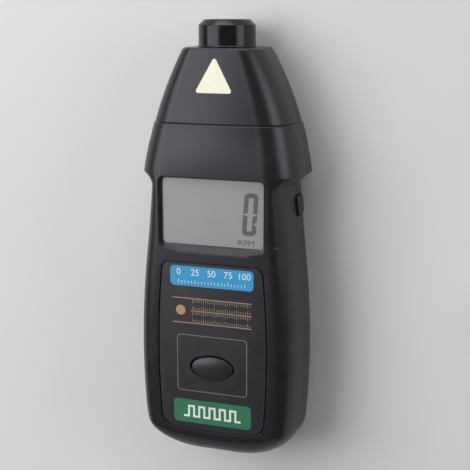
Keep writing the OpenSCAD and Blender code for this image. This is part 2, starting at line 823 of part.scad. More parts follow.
module battery() {
  y1 = battery_y + battery_l;
  color("#8c8f94") placed() translate([0, y1, battery_zc]) union() {
    rotate([90, 0, 0]) linear_extrude(battery_l) polygon(rounded(battery_w, battery_t, battery_corner));
    for (i = [0, 1]) translate([(2 * i - 1) * terminal_x, -fit, 0]) rotate([-90, 0, 0])
      cylinder(r = terminal_r[i], h = terminal_l + fit);
  }
}

module battery_snap() {
  color("#202022") placed() translate([0, snap_y, battery_zc]) difference() {
    rotate([90, 0, 0]) translate([0, 0, -snap_t]) linear_extrude(snap_t)
      polygon(rounded(2 * bay_half - snap_corner / 2, snap_h, snap_corner));
    for (i = [0, 1]) translate([(2 * i - 1) * terminal_x, -cut, 0]) rotate([-90, 0, 0])
      cylinder(r = terminal_r[i] + fit, h = terminal_l + cut);
  }
}

// Two insulated wires from the snap up to the back of the board
module battery_leads() {
  y0 = snap_y + snap_t;
  bend = (board_z - battery_zc) / 2;
  color("#b3322c") placed() for (s = [-1, 1]) translate([s * lead_x, y0, battery_zc]) {
    rotate([-90, 0, 0]) cylinder(r = lead_r, h = bend);
    translate([0, bend, bend]) rotate([0, 90, 0]) rotate_extrude(angle = 90)
      translate([bend, 0]) circle(r = lead_r);
    translate([0, 2 * bend, bend]) cylinder(r = lead_r, h = bend);
  }
}

module case_screws() {
  color("#9a9a9e") placed() for (at = case_posts_at) difference() {
    union() {
      rod(at, case_head_r, case_head_z - case_head_l, case_head_z);
      rod(at, case_screw_r, case_head_z - 0.5, case_head_z + case_screw_l);
    }
    for (turn = [0, 90]) translate([at[0], at[1], case_head_z - case_head_l]) rotate([0, 0, turn])
      cube([drive_l, drive_w, 2 * drive_d], center = true);
  }
}

module board_screws() {
  color("#b5b5b8") placed() for (at = board_posts_at) union() {
    rod(at, board_head_r, board_z - board_head_l, board_z);
    rod(at, board_screw_r, board_z - 0.5, board_top + board_pilot_l - 1);
  }
}

module face_label() {
  color("#343338") placed() difference() {
    slab(label_floor, label_floor + label_t) polygon(label_outline(label_half - fit));
    translate([0, key_y]) slab(label_floor - cut, front_h + cut) polygon(oval(key_w, key_l));
  }
}

module beam_mark() {
  color("#f3efd8") placed() translate([0, mark_y0, front_z(mark_y0)]) rotate([-atan(head_slope), 0, 0])
    linear_extrude(mark_t) polygon([
      [-mark_half + mark_round, 0], [mark_half - mark_round, 0], [mark_half - 0.1, mark_round],
      [mark_round / 2, mark_l - 0.2], [0, mark_l], [-mark_round / 2, mark_l - 0.2],
      [-mark_half + 0.1, mark_round]
    ]);
}

front_shell();
rear_shell();
battery_door();
nozzle();
lens();
lens_retainer();
beam_divider();
laser_module();
photo_sensor();
sensor_board();
sensor_ribbon();
main_board();
controller_chip();
quartz_crystal();
capacitor();
lcd_window();
lcd_cell();
lcd_frame();
contact_strips();
memory_button();
memory_switch();
memory_switch_stem();
test_button();
test_switch();
test_switch_stem();
battery();
battery_snap();
battery_leads();
case_screws();
board_screws();
face_label();
beam_mark();
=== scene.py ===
"""Looks of a hand-held laser tachometer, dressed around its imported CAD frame.

The instrument lies on its back: +X is right, +Y points out of the optical nozzle and +Z out of the
display face. Sizes are in millimetres, with y from the bottom end and z from the flat of the back;
`Workshop.to_frame` turns them into metres in the row frame.
"""

import json
import logging
import math
from dataclasses import dataclass, field
from enum import Enum
from typing import ClassVar, Sequence

import bmesh
import bpy
import numpy as np
from mathutils import Matrix, Vector

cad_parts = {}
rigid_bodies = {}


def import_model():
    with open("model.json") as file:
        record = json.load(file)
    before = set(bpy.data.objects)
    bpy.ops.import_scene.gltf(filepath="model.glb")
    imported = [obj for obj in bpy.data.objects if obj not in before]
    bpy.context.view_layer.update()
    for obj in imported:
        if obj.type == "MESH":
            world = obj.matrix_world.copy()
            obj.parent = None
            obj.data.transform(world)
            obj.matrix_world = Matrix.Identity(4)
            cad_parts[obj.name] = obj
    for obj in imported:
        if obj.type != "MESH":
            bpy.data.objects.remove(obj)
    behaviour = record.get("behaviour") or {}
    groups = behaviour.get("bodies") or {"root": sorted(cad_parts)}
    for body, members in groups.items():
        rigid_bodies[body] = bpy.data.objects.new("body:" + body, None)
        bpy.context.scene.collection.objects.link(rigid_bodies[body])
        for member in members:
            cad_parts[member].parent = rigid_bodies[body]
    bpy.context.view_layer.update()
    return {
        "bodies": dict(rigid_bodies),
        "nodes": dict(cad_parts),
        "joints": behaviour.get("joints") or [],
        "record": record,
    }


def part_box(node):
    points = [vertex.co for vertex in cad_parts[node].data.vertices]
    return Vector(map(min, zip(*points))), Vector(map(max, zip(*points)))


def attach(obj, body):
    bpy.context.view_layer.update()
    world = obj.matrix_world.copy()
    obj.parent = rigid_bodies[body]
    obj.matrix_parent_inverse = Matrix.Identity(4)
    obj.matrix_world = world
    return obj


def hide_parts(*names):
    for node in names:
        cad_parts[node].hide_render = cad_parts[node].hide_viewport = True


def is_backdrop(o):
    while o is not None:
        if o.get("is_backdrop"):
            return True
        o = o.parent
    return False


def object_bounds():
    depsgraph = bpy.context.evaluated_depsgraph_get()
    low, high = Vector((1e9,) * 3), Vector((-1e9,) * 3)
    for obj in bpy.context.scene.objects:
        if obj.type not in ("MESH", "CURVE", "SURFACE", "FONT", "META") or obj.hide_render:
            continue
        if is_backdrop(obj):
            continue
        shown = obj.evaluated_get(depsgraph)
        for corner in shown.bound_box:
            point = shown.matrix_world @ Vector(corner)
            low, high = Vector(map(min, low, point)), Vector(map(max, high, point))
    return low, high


LOG = logging.getLogger("tachometer")
MM = 0.001
PAST = 1.0  # how far a cutter reaches past the face that it opens, in millimetres

Array = np.ndarray
Piece = bpy.types.Object
Tree = bpy.types.NodeTree
Socket = bpy.types.NodeSocket
Colour = tuple[float, float, float]
Solid = tuple[Array, list[list[int]]]


class Body(str, Enum):
    """Bodies of the frame that a piece can ride on."""

    HOUSING = "housing"
    MEMORY_KEY = "memory_key"
    TEST_KEY = "test_key"
    BATTERY_COVER = "battery_cover"


class Shell(Enum):
    """The two halves of the moulded housing, with the way each one rises from the parting plane."""

    FRONT = 1.0
    REAR = -1.0


class Carve(str, Enum):
    """What a tool solid does to a piece."""

    ADD = "UNION"
    CUT = "DIFFERENCE"
    KEEP = "INTERSECT"


class Half(Enum):
    """The two dark halves of the nought on the display, with the way each one runs from the middle."""

    UPPER = 1.0
    LOWER = -1.0


# Curves


def unit(t: Array) -> Array:
    """t held between 0 and 1."""
    return np.clip(t, 0.0, 1.0)


def smooth(t: Array) -> Array:
    """Ease from 0 to 1: u squared times (3 - 2u)."""
    u = unit(t)
    return u * u * (3 - 2 * u)


def quarter(t: Array) -> Array:
    """Quarter circle from 0 to 1: the root of 1 - (1 - u) squared."""
    return np.sqrt(1 - (1 - unit(t)) ** 2)


def lerp(a: Array, b: Array, t: Array) -> Array:
    """a + (b - a) t."""
    return a + (b - a) * t


def spread(start: float, stop: float, step: float) -> Array:
    """Even stations from start up to stop, stop left out, about step apart."""
    return np.linspace(start, stop, max(2, math.ceil((stop - start) / step)), endpoint=False)


# Outlines: closed rings of points in a plane, run anticlockwise


def oval(width: float, length: float, count: int = 128) -> Array:
    """Ellipse of count points: half the width times cos t by half the length times sin t."""
    t = np.linspace(0, 2 * math.pi, count, endpoint=False)
    return np.stack([width / 2 * np.cos(t), length / 2 * np.sin(t)], -1)


def rounded(width: float, length: float, radius: float, steps: int = 8) -> Array:
    """Rectangle with round corners: each corner's centre plus radius times (cos t, sin t).

    Args:
        width: size along x.
        length: size along y.
        radius: corner radius.
        steps: points round each corner, less one.

    Returns:
        The ring, an array of 4 (steps + 1) by 2.
    """
    t = np.linspace(0, math.pi / 2, steps + 1)[None, :] + np.arange(4)[:, None] * math.pi / 2
    side = np.array([[1, 1], [-1, 1], [-1, -1], [1, -1]], float)[:, None, :]
    centre = side * np.array([width / 2 - radius, length / 2 - radius])
    return (centre + radius * np.stack([np.cos(t), np.sin(t)], -1)).reshape(-1, 2)


def outward(ring: Array) -> Array:
    """Unit normals of an anticlockwise ring: its central difference turned a quarter clockwise.

    Args:
        ring: points of the ring.

    Returns:
        A normal for each point.
    """
    along = np.roll(ring, -1, 0) - np.roll(ring, 1, 0)
    normal = np.stack([along[:, 1], -along[:, 0]], -1)
    return normal / np.maximum(np.linalg.norm(normal, axis=1, keepdims=True), 1e-9)


def grown(ring: Array, by: float) -> Array:
    """The ring moved outwards along its normals."""
    return ring + by * outward(ring)


def lifted(ring: Array, height: float) -> Array:
    """A flat ring as 3-D points at one height."""
    return np.concatenate([ring, np.full((len(ring), 1), height)], 1)


# Solids: points and faces


def grid_faces(rows: int, cols: int, closed: bool) -> list[list[int]]:
    """Quads of a grid of rings: each joins two neighbours of one ring to the same two of the next.

    Args:
        rows: rings in the grid.
        cols: points in each ring, the last of which meets the first.
        closed: whether the last ring meets the first one too.

    Returns:
        The faces.
    """
    row = np.arange(rows if closed else rows - 1)[:, None]
    col = np.arange(cols)[None, :]
    here, down, turn = row * cols, (row + 1) % rows * cols, (col + 1) % cols
    return np.stack([here + col, here + turn, down + turn, down + col], -1).reshape(-1, 4).tolist()


def loft(rings: Array) -> Solid:
    """Skin over a stack of equal closed rings, with a flat cap at each end.

    Args:
        rings: an array of rows by columns by 3.

    Returns:
        The points and faces.
    """
    rows, cols = rings.shape[:2]
    faces = grid_faces(rows, cols, False)
    faces.append(list(range(cols - 1, -1, -1)))
    faces.append(list(range((rows - 1) * cols, rows * cols)))
    return rings.reshape(-1, 3), faces


def hoop(rings: Array) -> Solid:
    """Skin over a stack of equal closed rings, the last of which meets the first."""
    return rings.reshape(-1, 3), grid_faces(*rings.shape[:2], True)


def lathe(profile: Array, centre: Array, count: int = 128) -> Solid:
    """A profile carried round the y axis: a point at angle t is centre + (r cos t, y, r sin t).

    Args:
        profile: an array of (radius, y), closed on itself.
        centre: x and z of the axis.
        count: stations round the axis.

    Returns:
        The points and faces.
    """
    t = np.linspace(0, 2 * math.pi, count, endpoint=False)[:, None]
    r, y = profile[None, :, 0], profile[None, :, 1]
    return hoop(np.stack([centre[0] + r * np.cos(t), y + 0 * t, centre[1] + r * np.sin(t)], -1))


def prism(ring: Array, low: float, high: float) -> Solid:
    """A flat ring carried straight up from low to high."""
    return loft(np.stack([lifted(ring, low), lifted(ring, high)]))


def rim(ring: Array, low: float, high: float, radius: float, way: float, steps: int) -> list[Array]:
    """Rings of a wall with a round rim, which moves out by way times radius (1 - cos t) as it rises by
    radius sin t.

    Args:
        ring: outline of the wall.
        low: its foot.
        high: its top.
        radius: radius of the rim.
        way: 1 where the rim opens, -1 where it draws in.
        steps: rings in the rim, less one.

    Returns:
        The rings, from the foot up.
    """
    rows = [lifted(ring, low)]
    for t in np.linspace(0, math.pi / 2, steps + 1):
        height = high - radius + radius * math.sin(t)
        rows.append(lifted(grown(ring, way * radius * (1 - math.cos(t))), height))
    return rows


def flared(ring: Array, low: float, high: float, flare: float, steps: int = 6) -> Solid:
    """A hole's cutter whose rim is rounded outwards by flare, carried on past the face at high."""
    rows = rim(ring, low, high, flare, 1.0, steps)
    return loft(np.stack([*rows, lifted(grown(ring, flare), high + PAST)]))


def pillow(ring: Array, low: float, high: float, edge: float, steps: int = 3) -> Solid:
    """A plate whose upper edge is rounded inwards by edge."""
    return loft(np.stack(rim(ring, low, high, edge, -1.0, steps)))


def bar(low: Sequence[float], high: Sequence[float], corner: float = 0.01) -> Solid:
    """A block between two corners.

    Args:
        low: its lowest corner.
        high: its highest corner.
        corner: radius of its upright edges.

    Returns:
        The points and faces.
    """
    ring = rounded(high[0] - low[0], high[1] - low[1], corner, 1)
    centre = np.array([(low[0] + high[0]) / 2, (low[1] + high[1]) / 2])
    return prism(ring + centre, low[2], high[2])


def post(at: Sequence[float], radius: float, low: float, high: float, count: int = 48) -> Solid:
    """A round post standing along z."""
    return prism(oval(2 * radius, 2 * radius, count) + np.asarray(at), low, high)


def rod(at: Sequence[float], radius: float, start: float, stop: float) -> Solid:
    """A round rod lying along y, at x and z."""
    ring = oval(2 * radius, 2 * radius) + np.asarray(at)
    return loft(np.stack([np.insert(ring, 1, y, axis=1) for y in (start, stop)]))


def joined(solids: Sequence[Solid]) -> Solid:
    """Several solids as one set of points and faces.

    Args:
        solids: the solids.

    Returns:
        The points and faces.
    """
    offset, points, faces = 0, [], []
    for solid_points, solid_faces in solids:
        points.append(solid_points)
        faces += [[i + offset for i in face] for face in solid_faces]
        offset += len(solid_points)
    return np.concatenate(points), faces


def carried(path: Array, width: float) -> Array:
    """Outline of a stroke along a path of right-angled turns: the path plus and minus half its width
    times the sum of the normals of the two stretches that meet at each point.

    Args:
        path: points of the stroke's middle line.
        width: width of the stroke.

    Returns:
        The ring.
    """
    along = np.diff(path, axis=0)
    normal = np.stack([-along[:, 1], along[:, 0]], -1) / np.linalg.norm(along, axis=1, keepdims=True)
    mitre = np.concatenate([normal[:1], normal[1:] + normal[:-1], normal[-1:]]) * width / 2
    return np.concatenate([path - mitre, (path + mitre)[::-1]])


def figures(
    words: str, size: tuple[float, float], centre: Sequence[float], low: float, thick: float
) -> Solid:
    """Plain type as a thin solid.

    Args:
        words: what it says.
        size: width and height; a width of 0 keeps the type's own proportion.
        centre: x and y of its middle.
        low: height of its underside.
        thick: its thickness.

    Returns:
        The points and faces.
    """
    curve = bpy.data.curves.new("type", "FONT")
    curve.body, curve.extrude = words, 0.5
    holder = bpy.data.objects.new("type", curve)
    bpy.context.scene.collection.objects.link(holder)
    mesh = bpy.data.meshes.new_from_object(holder.evaluated_get(bpy.context.evaluated_depsgraph_get()))
    points = np.empty(len(mesh.vertices) * 3)
    mesh.vertices.foreach_get("co", points)
    corners, counts = np.empty(len(mesh.loops), int), np.empty(len(mesh.polygons), int)
    mesh.loops.foreach_get("vertex_index", corners)
    mesh.polygons.foreach_get("loop_total", counts)
    bpy.data.objects.remove(holder)
    bpy.data.curves.remove(curve)
    bpy.data.meshes.remove(mesh)
    points = points.reshape(-1, 3)
    start, span = points.min(0), np.ptp(points, axis=0)
    width = size[0] or size[1] * span[0] / span[1]
    share = (points - start) / span - 0.5
    place = np.array([*centre, low + thick / 2])
    faces = [part.tolist() for part in np.split(corners, np.cumsum(counts)[:-1])]
    return share * np.array([width, size[1], thick]) + place, faces


@dataclass(frozen=True)
class Finish:
    """A procedural finish on Object coordinates.

    A broad noise of patch millimetres mottles the colour by a share of itself and moves the roughness
    between two values. A fine noise of grain millimetres lifts the surface by depth millimetres. The
    gloss takes the colour of tint, and coat lays a clear film over it.
    """

    BROAD_DETAIL: ClassVar[float] = 4.0
    FINE_DETAIL: ClassVar[float] = 2.0
    MOTTLE_SPAN: ClassVar[tuple[float, float]] = (0.35, 0.65)
    ROUGH_SPAN: ClassVar[tuple[float, float]] = (0.3, 0.7)
    COAT_ROUGH: ClassVar[float] = 0.08

    name: str
    colour: Colour
    rough: tuple[float, float] = (0.4, 0.5)
    mottle: float = 0.08
    patch: float = 6.0
    grain: float = 0.35
    depth: float = 0.004
    metal: float = 0.0
    specular: float = 0.5
    tint: Colour = (1.0, 1.0, 1.0)
    coat: float = 0.0
    alpha: float = 1.0

    @staticmethod
    def _noise(tree: Tree, size: float, detail: float) -> Socket:
        """A noise on Object coordinates.

        Args:
            tree: the material's nodes.
            size: size of its blobs, in millimetres.
            detail: its octaves.

        Returns:
            The noise's factor.
        """
        place = tree.nodes.get("place") or tree.nodes.new("ShaderNodeTexCoord")
        place.name = "place"
        noise = tree.nodes.new("ShaderNodeTexNoise")
        noise.inputs["Scale"].default_value = 1 / (size * MM)
        noise.inputs["Detail"].default_value = detail
        tree.links.new(place.outputs["Object"], noise.inputs["Vector"])
        return noise.outputs["Fac"]

    def _mottled(self, tree: Tree, noise: Socket) -> Socket:
        """The colour, from 1 - mottle to 1 + mottle times itself over the middle of a noise.

        Args:
            tree: the material's nodes.
            noise: the noise's factor.

        Returns:
            The ramp's colour.
        """
        ramp = tree.nodes.new("ShaderNodeValToRGB")
        for end, way in enumerate((-1, 1)):
            element = ramp.color_ramp.elements[end]
            element.position = self.MOTTLE_SPAN[end]
            element.color = (*(c * (1 + way * self.mottle) for c in self.colour), 1)
        tree.links.new(noise, ramp.inputs["Fac"])
        return ramp.outputs["Color"]

    def _worn(self, tree: Tree, noise: Socket) -> Socket:
        """The roughness, between its two values over the middle of a noise.

        Args:
            tree: the material's nodes.
            noise: the noise's factor.

        Returns:
            The roughness.
        """
        span = tree.nodes.new("ShaderNodeMapRange")
        span.inputs["From Min"].default_value, span.inputs["From Max"].default_value = self.ROUGH_SPAN
        span.inputs["To Min"].default_value, span.inputs["To Max"].default_value = self.rough
        tree.links.new(noise, span.inputs["Value"])
        return span.outputs["Result"]

    def _grained(self, tree: Tree) -> Socket:
        """The surface's normal, lifted by the fine noise.

        Args:
            tree: the material's nodes.

        Returns:
            The normal.
        """
        bump = tree.nodes.new("ShaderNodeBump")
        bump.inputs["Strength"].default_value = 1.0
        bump.inputs["Distance"].default_value = self.depth * MM
        tree.links.new(self._noise(tree, self.grain, self.FINE_DETAIL), bump.inputs["Height"])
        return bump.outputs["Normal"]

    def build(self) -> bpy.types.Material:
        """Makes the material.

        Returns:
            The material, with one Principled shader.
        """
        material = bpy.data.materials.new(self.name)
        material.use_nodes = True
        tree = material.node_tree
        shader = tree.nodes["Principled BSDF"]
        broad = self._noise(tree, self.patch, self.BROAD_DETAIL)
        tree.links.new(self._mottled(tree, broad), shader.inputs["Base Color"])
        tree.links.new(self._worn(tree, broad), shader.inputs["Roughness"])
        tree.links.new(self._grained(tree), shader.inputs["Normal"])
        for socket, value in {
            "Metallic": self.metal,
            "Specular IOR Level": self.specular,
            "Specular Tint": (*self.tint, 1),
            "Coat Weight": self.coat,
            "Coat Roughness": self.COAT_ROUGH,
            "Alpha": self.alpha,
        }.items():
            shader.inputs[socket].default_value = value
        material.diffuse_color = (*self.colour, self.alpha)
        return material


class Finishes:
    """Every finish of the instrument and its studio, built once and found by name."""

    COOL: Colour = (0.91, 0.885, 1.0)
    PALETTE: tuple[Finish, ...] = (
        Finish(
            "front_moulding", (0.0142, 0.0138, 0.0158), (0.3, 0.35),
            depth=0.006, specular=0.39, tint=COOL,
        ),
        Finish(
            "rear_moulding", (0.0142, 0.0138, 0.0155), (0.26, 0.32),
            depth=0.007, specular=0.7, tint=COOL,
        ),
        Finish("door_moulding", (0.015, 0.0147, 0.0164), (0.36, 0.42), depth=0.007, tint=COOL),
        Finish(
            "key_moulding", (0.0175, 0.0171, 0.0192), (0.33, 0.39),
            grain=0.3, depth=0.003, tint=COOL,
        ),
        Finish(
            "nozzle_gloss", (0.01, 0.0098, 0.0115), (0.17, 0.23),
            depth=0.001, specular=0.3, tint=COOL,
        ),
        Finish("lens_glass", (0.04, 0.02, 0.025), (0.03, 0.05), depth=0.0, coat=1.0),
        Finish("window_clear", (0.52, 0.52, 0.53), (0.05, 0.08), depth=0.0, alpha=0.12),
        Finish("display_grey", (0.297, 0.297, 0.303), (0.3, 0.36), mottle=0.03, patch=18, depth=0.0),
        Finish("display_segment", (0.1, 0.096, 0.108), (0.3, 0.36), mottle=0.05, patch=3, depth=0.0),
        Finish(
            "label_film", (0.0245, 0.024, 0.0262), (0.48, 0.54),
            grain=0.2, depth=0.002, specular=0.36, tint=COOL,
        ),
        Finish("blue_ink", (0.028, 0.31, 0.59), (0.36, 0.44), mottle=0.04, grain=0.15, depth=0.001),
        Finish("green_ink", (0.03, 0.175, 0.09), (0.36, 0.44), mottle=0.05, grain=0.15, depth=0.001),
        Finish("tan_ink", (0.33, 0.24, 0.155), (0.4, 0.48), mottle=0.06, grain=0.15, depth=0.001),
        Finish("disc_ink", (0.45, 0.275, 0.12), (0.4, 0.48), mottle=0.05, grain=0.15, depth=0.001),
        Finish("frame_ink", (0.165, 0.15, 0.14), (0.4, 0.48), mottle=0.06, grain=0.15, depth=0.001),
        Finish("white_ink", (0.8, 0.8, 0.79), (0.4, 0.48), mottle=0.02, grain=0.15, depth=0.001),
        Finish("pointer_film", (0.865, 0.838, 0.67), (0.32, 0.4), mottle=0.03, grain=0.2, depth=0.001),
        Finish("screw_steel", (0.48, 0.48, 0.49), (0.28, 0.4), metal=1.0, grain=0.2, depth=0.003),
        Finish("optics_black", (0.01, 0.01, 0.01), (0.6, 0.7), grain=0.2),
        Finish("brass", (0.6, 0.42, 0.17), (0.25, 0.35), metal=1.0, grain=0.2, depth=0.002),
        Finish("sensor_resin", (0.03, 0.02, 0.03), (0.15, 0.22), grain=0.3, depth=0.001),
        Finish(
            "board_green", (0.015, 0.12, 0.045), (0.3, 0.42),
            mottle=0.18, patch=2.0, grain=0.4, depth=0.01,
        ),
        Finish("ribbon_film", (0.55, 0.53, 0.46), (0.35, 0.45), mottle=0.1, patch=1.0, depth=0.002),
        Finish("chip_epoxy", (0.018, 0.018, 0.019), (0.55, 0.65), grain=0.15),
        Finish("can_metal", (0.62, 0.62, 0.63), (0.22, 0.32), metal=1.0, grain=0.3, depth=0.002),
        Finish("capacitor_sleeve", (0.05, 0.08, 0.28), (0.28, 0.36), grain=0.3, depth=0.002),
        Finish("display_frame", (0.56, 0.54, 0.46), (0.45, 0.55), grain=0.3),
        Finish("contact_rubber", (0.06, 0.06, 0.062), (0.7, 0.8), mottle=0.2, patch=0.5),
        Finish("switch_case", (0.035, 0.035, 0.038), (0.45, 0.55), grain=0.25, depth=0.003),
        Finish("switch_stem", (0.28, 0.04, 0.03), (0.38, 0.46), grain=0.25, depth=0.003),
        Finish("battery_case", (0.22, 0.23, 0.25), (0.3, 0.4), metal=0.6, grain=0.3, depth=0.002),
        Finish("snap_vinyl", (0.014, 0.014, 0.015), (0.55, 0.65), grain=0.3),
        Finish("lead_vinyl", (0.4, 0.03, 0.025), (0.38, 0.46), grain=0.25, depth=0.003),
        Finish(
            "floor", (0.72, 0.716, 0.708), (0.65, 0.75),
            mottle=0.015, patch=60, grain=1.5, depth=0.01,
        ),
    )

    def __init__(self) -> None:
        """Builds the materials."""
        self._made = {finish.name: finish.build() for finish in self.PALETTE}

    def __getitem__(self, name: str) -> bpy.types.Material:
        """The material of that name."""
        return self._made[name]


class Workshop:
    """Turns solids into pieces of the scene, and keeps the frame and the finishes."""

    SHARP = math.radians(32)

    def __init__(self, frame: dict, finishes: Finishes) -> None:
        """Keeps the frame, the finishes and the place of the bottom end.

        Args:
            finishes: the materials.
        """
        self.frame = frame
        self.finishes = finishes
        self.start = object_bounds()[0][1]

    def to_frame(self, points: Array) -> Array:
        """Millimetres from the bottom end as metres in the row frame."""
        return np.asarray(points, float) * MM + np.array([0.0, self.start, 0.0])

    def raw(self, name: str, solid: Solid) -> Piece:
        """An object with a solid's mesh, its faces turned outwards.

        Args:
            name: the object's name.
            solid: points and faces in millimetres.

        Returns:
            The object, linked to the scene.
        """
        mesh = bpy.data.meshes.new(name)
        mesh.from_pydata(self.to_frame(solid[0]).tolist(), [], solid[1])
        work = bmesh.new()
        work.from_mesh(mesh)
        bmesh.ops.recalc_face_normals(work, faces=work.faces)
        work.to_mesh(mesh)
        work.free()
        piece = bpy.data.objects.new(name, mesh)
        bpy.context.scene.collection.objects.link(piece)
        return piece

    def carve(self, piece: Piece, how: Carve, *solids: Solid) -> None:
        """Adds solids to a piece in turn, or cuts them away, and leaves a plain mesh.

        Args:
            piece: the object to change.
            how: what each solid does.
            solids: the tools.
        """
        for solid in solids:
            tool = self.raw("tool", solid)
            step = piece.modifiers.new("carve", "BOOLEAN")
            step.operation, step.solver, step.object = how.value, "MANIFOLD", tool
            shaped = piece.evaluated_get(bpy.context.evaluated_depsgraph_get())
            mesh = bpy.data.meshes.new_from_object(shaped)
            piece.modifiers.clear()
            spent = (piece.data, tool.data)
            piece.data = mesh
            bpy.data.objects.remove(tool)
            for old in spent:
                bpy.data.meshes.remove(old)

    def finish(self, piece: Piece, body: Body, finish: str, slot: str, nodes: Sequence[str] = ()) -> None:
        """Smooths a piece, gives it its finish and lets it ride on its body.

        Args:
            piece: the object.
            body: the body it rides on.
            finish: name of its finish.
            slot: the record's material slot; not used.
            nodes: CAD nodes that it stands for.
        """
        piece.data.materials.clear()
        piece.data.materials.append(self.finishes[finish])
        piece.data.shade_smooth()
        piece.data.set_sharp_from_angle(angle=self.SHARP)
        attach(piece, body.value)
        if nodes:
            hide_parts(*nodes)
        LOG.info("%s: %d faces on %s", piece.name, len(piece.data.polygons), body.value)

    def make(
        self, name: str, solid: Solid, body: Body, finish: str, slot: str, nodes: Sequence[str] = ()
    ) -> None:
        """A finished piece straight from a solid."""
        self.finish(self.raw(name, solid), body, finish, slot, nodes)

    def dress(self, node: str, finish: str) -> None:
        """Gives a CAD node that stays its finish.

        Args:
            node: the node's name.
            finish: name of its finish.
        """
        piece = self.frame["nodes"][node]
        if not piece.material_slots:
            piece.data.materials.append(None)
        for place in piece.material_slots:
            place.material = self.finishes[finish]
        LOG.info("%s: dressed in %s", node, finish)


@dataclass(frozen=True)
class HousingForm:
    """Shape of the two moulded shells: plan, side profile and roundings, in millimetres."""

    total_l: float = 190.0
    front_h: float = 37.0
    parting_z: float = 17.0
    wall: float = 2.2
    bulge_half: float = 35.6
    bulge_y: float = 47.0
    waist_half: float = 30.2
    face_half: float = 24.7
    taper_l: float = 35.0
    fillet_w: float = 7.6
    fillet_d: float = 11.0
    corner_l: float = 15.0
    corner_w: float = 24.0
    end_round_l: float = 11.5
    end_fillet_d: float = 18.0
    end_ease_l: float = 23.0
    end_flat: float = 0.05
    rear_round: float = 9.0
    rear_end_l: float = 10.0
    least_round: float = 1.0
    edge_bevel: float = 0.25
    head_l: float = 52.7
    shoulder_half: float = 35.4
    ledge_l: float = 5.0
    ledge_power: float = 1.6
    ledge_soft: float = 0.09
    head_r: float = 146.0
    head_lean: float = math.radians(7.4)
    head_rise: float = 0.7
    head_fillet_w: float = 13.0
    head_fillet_d: float = 14.5
    nose_fillet_w: float = 8.5
    nose_fillet_d: float = 11.6
    nose_h: float = 15.09
    nose_round: float = 1.0
    seam_back: float = 31.2
    seam_w: float = 0.8
    seam_d: float = 0.5
    seam_step: float = 0.3
    seam_bell: float = 1.7
    nozzle_l: float = 11.4
    lift_back: float = 11.0
    break_l: float = 8.0
    break_run: float = 22.0
    crown_r: float = 210.0
    corner_rings: int = 44
    seam_rings: int = 29
    nose_rings: int = 10
    seam_reach: float = 1.2
    shoulder_near: float = 0.8
    body_step: float = 1.6
    ledge_step: float = 0.25
    shoulder_step: float = 0.07
    head_step: float = 0.8
    nose_step: float = 1.2
    round_points: int = 25
    flat_points: int = 17
    bevel_points: int = 4

    @property
    def head_end(self) -> float:
        """Place of the flat nose."""
        return self.total_l - self.nozzle_l

    @property
    def shoulder_y(self) -> float:
        """Place of the shoulder."""
        return self.head_end - self.head_l

    @property
    def waist_y(self) -> float:
        """Place where the ledge under the shoulder begins."""
        return self.shoulder_y - self.ledge_l

    @property
    def taper_y(self) -> float:
        """Place where the long side curve runs out straight."""
        return self.bulge_y + self.taper_l

    @property
    def seam_y(self) -> float:
        """Place of the moulded seam across the head."""
        return self.head_end - self.seam_back

    def lower_half(self, y: Array) -> Array:
        """Half width of the lower body: a parabola about the bulge that runs straight to the waist.

        Args:
            y: places along the length.

        Returns:
            The half width at each place.
        """
        run = self.taper_l * (self.taper_l / 2 + self.waist_y - self.taper_y)
        bend = (self.bulge_half - self.waist_half) / run
        curve = (np.minimum(y, self.taper_y) - self.bulge_y) ** 2 / 2
        return self.bulge_half - bend * (curve + self.taper_l * np.maximum(0, y - self.taper_y))

    def head_half(self, y: Array) -> Array:
        """Half width of the head: an arc of head_r that leans in from the shoulder.

        Args:
            y: places along the length.

        Returns:
            The half width at each place.
        """
        cx = self.shoulder_half - self.head_r * math.cos(self.head_lean)
        cy = self.shoulder_y - self.head_r * math.sin(self.head_lean)
        return cx + np.sqrt(self.head_r**2 - (y - cy) ** 2)

    def ledge_part(self, y: Array) -> Array:
        """Share of the head in the outline: t to a power up the ledge, then a parabola round its top.

        Args:
            y: places along the length.

        Returns:
            The share at each place, from 0 to 1.
        """
        t = unit((y - self.waist_y) / self.ledge_l)
        soft = self.ledge_soft
        low = (1 - soft) ** self.ledge_power
        ease = unit(((y - self.waist_y) / self.ledge_l - 1 + soft) / (2 * soft))
        corner = lerp(lerp(low, 1.0, ease), 1.0, ease)
        return np.where(ease > 0, corner, t**self.ledge_power)

    def nose_cut(self, y: Array) -> Array:
        """Quarter round at the edge of the flat nose."""
        return self.nose_round * (1 - quarter((self.head_end - y) / self.nose_round))

    def seam_cut(self, y: Array) -> Array:
        """Seam: a soft step past it, with a bell-shaped groove on top.

        Args:
            y: places along the length.

        Returns:
            The depth at each place.
        """
        away = (y - self.seam_y) / (self.seam_w / 2)
        step = self.seam_step * smooth(away + 0.5)
        return step + (self.seam_d - self.seam_step / 2) * np.exp(-((self.seam_bell * away) ** 2))

    def plan_half(self, y: Array) -> Array:
        """Half width in plan: lower body, ledge and head, less the nose round and the seam."""
        head = self.head_half(np.maximum(y, self.waist_y))
        return lerp(self.lower_half(y), head, self.ledge_part(y)) - self.nose_cut(y) - self.seam_cut(y)

    def inset_half(self, y: Array, ex: Array, ey: Array) -> Array:
        """The plan drawn in by ex at the sides and ey at the bottom end, with round lower corners."""
        corner = 1 - quarter((y - ey) / (self.corner_l - ey))
        return self.plan_half(y) - ex - (self.corner_w - ex) * corner

    def front_z(self, y: Array) -> Array:
        """Height of the front face: flat, then a smooth break into the tilted head.

        Args:
            y: places along the length.

        Returns:
            The height at each place.
        """
        slope = (self.front_h + self.head_rise - self.parting_z - self.nose_h) / self.head_l
        head = self.front_h + self.head_rise - slope * (y - self.shoulder_y)
        return lerp(self.front_h, head, self.break_part(y)) - self.nose_cut(y) - self.seam_cut(y)

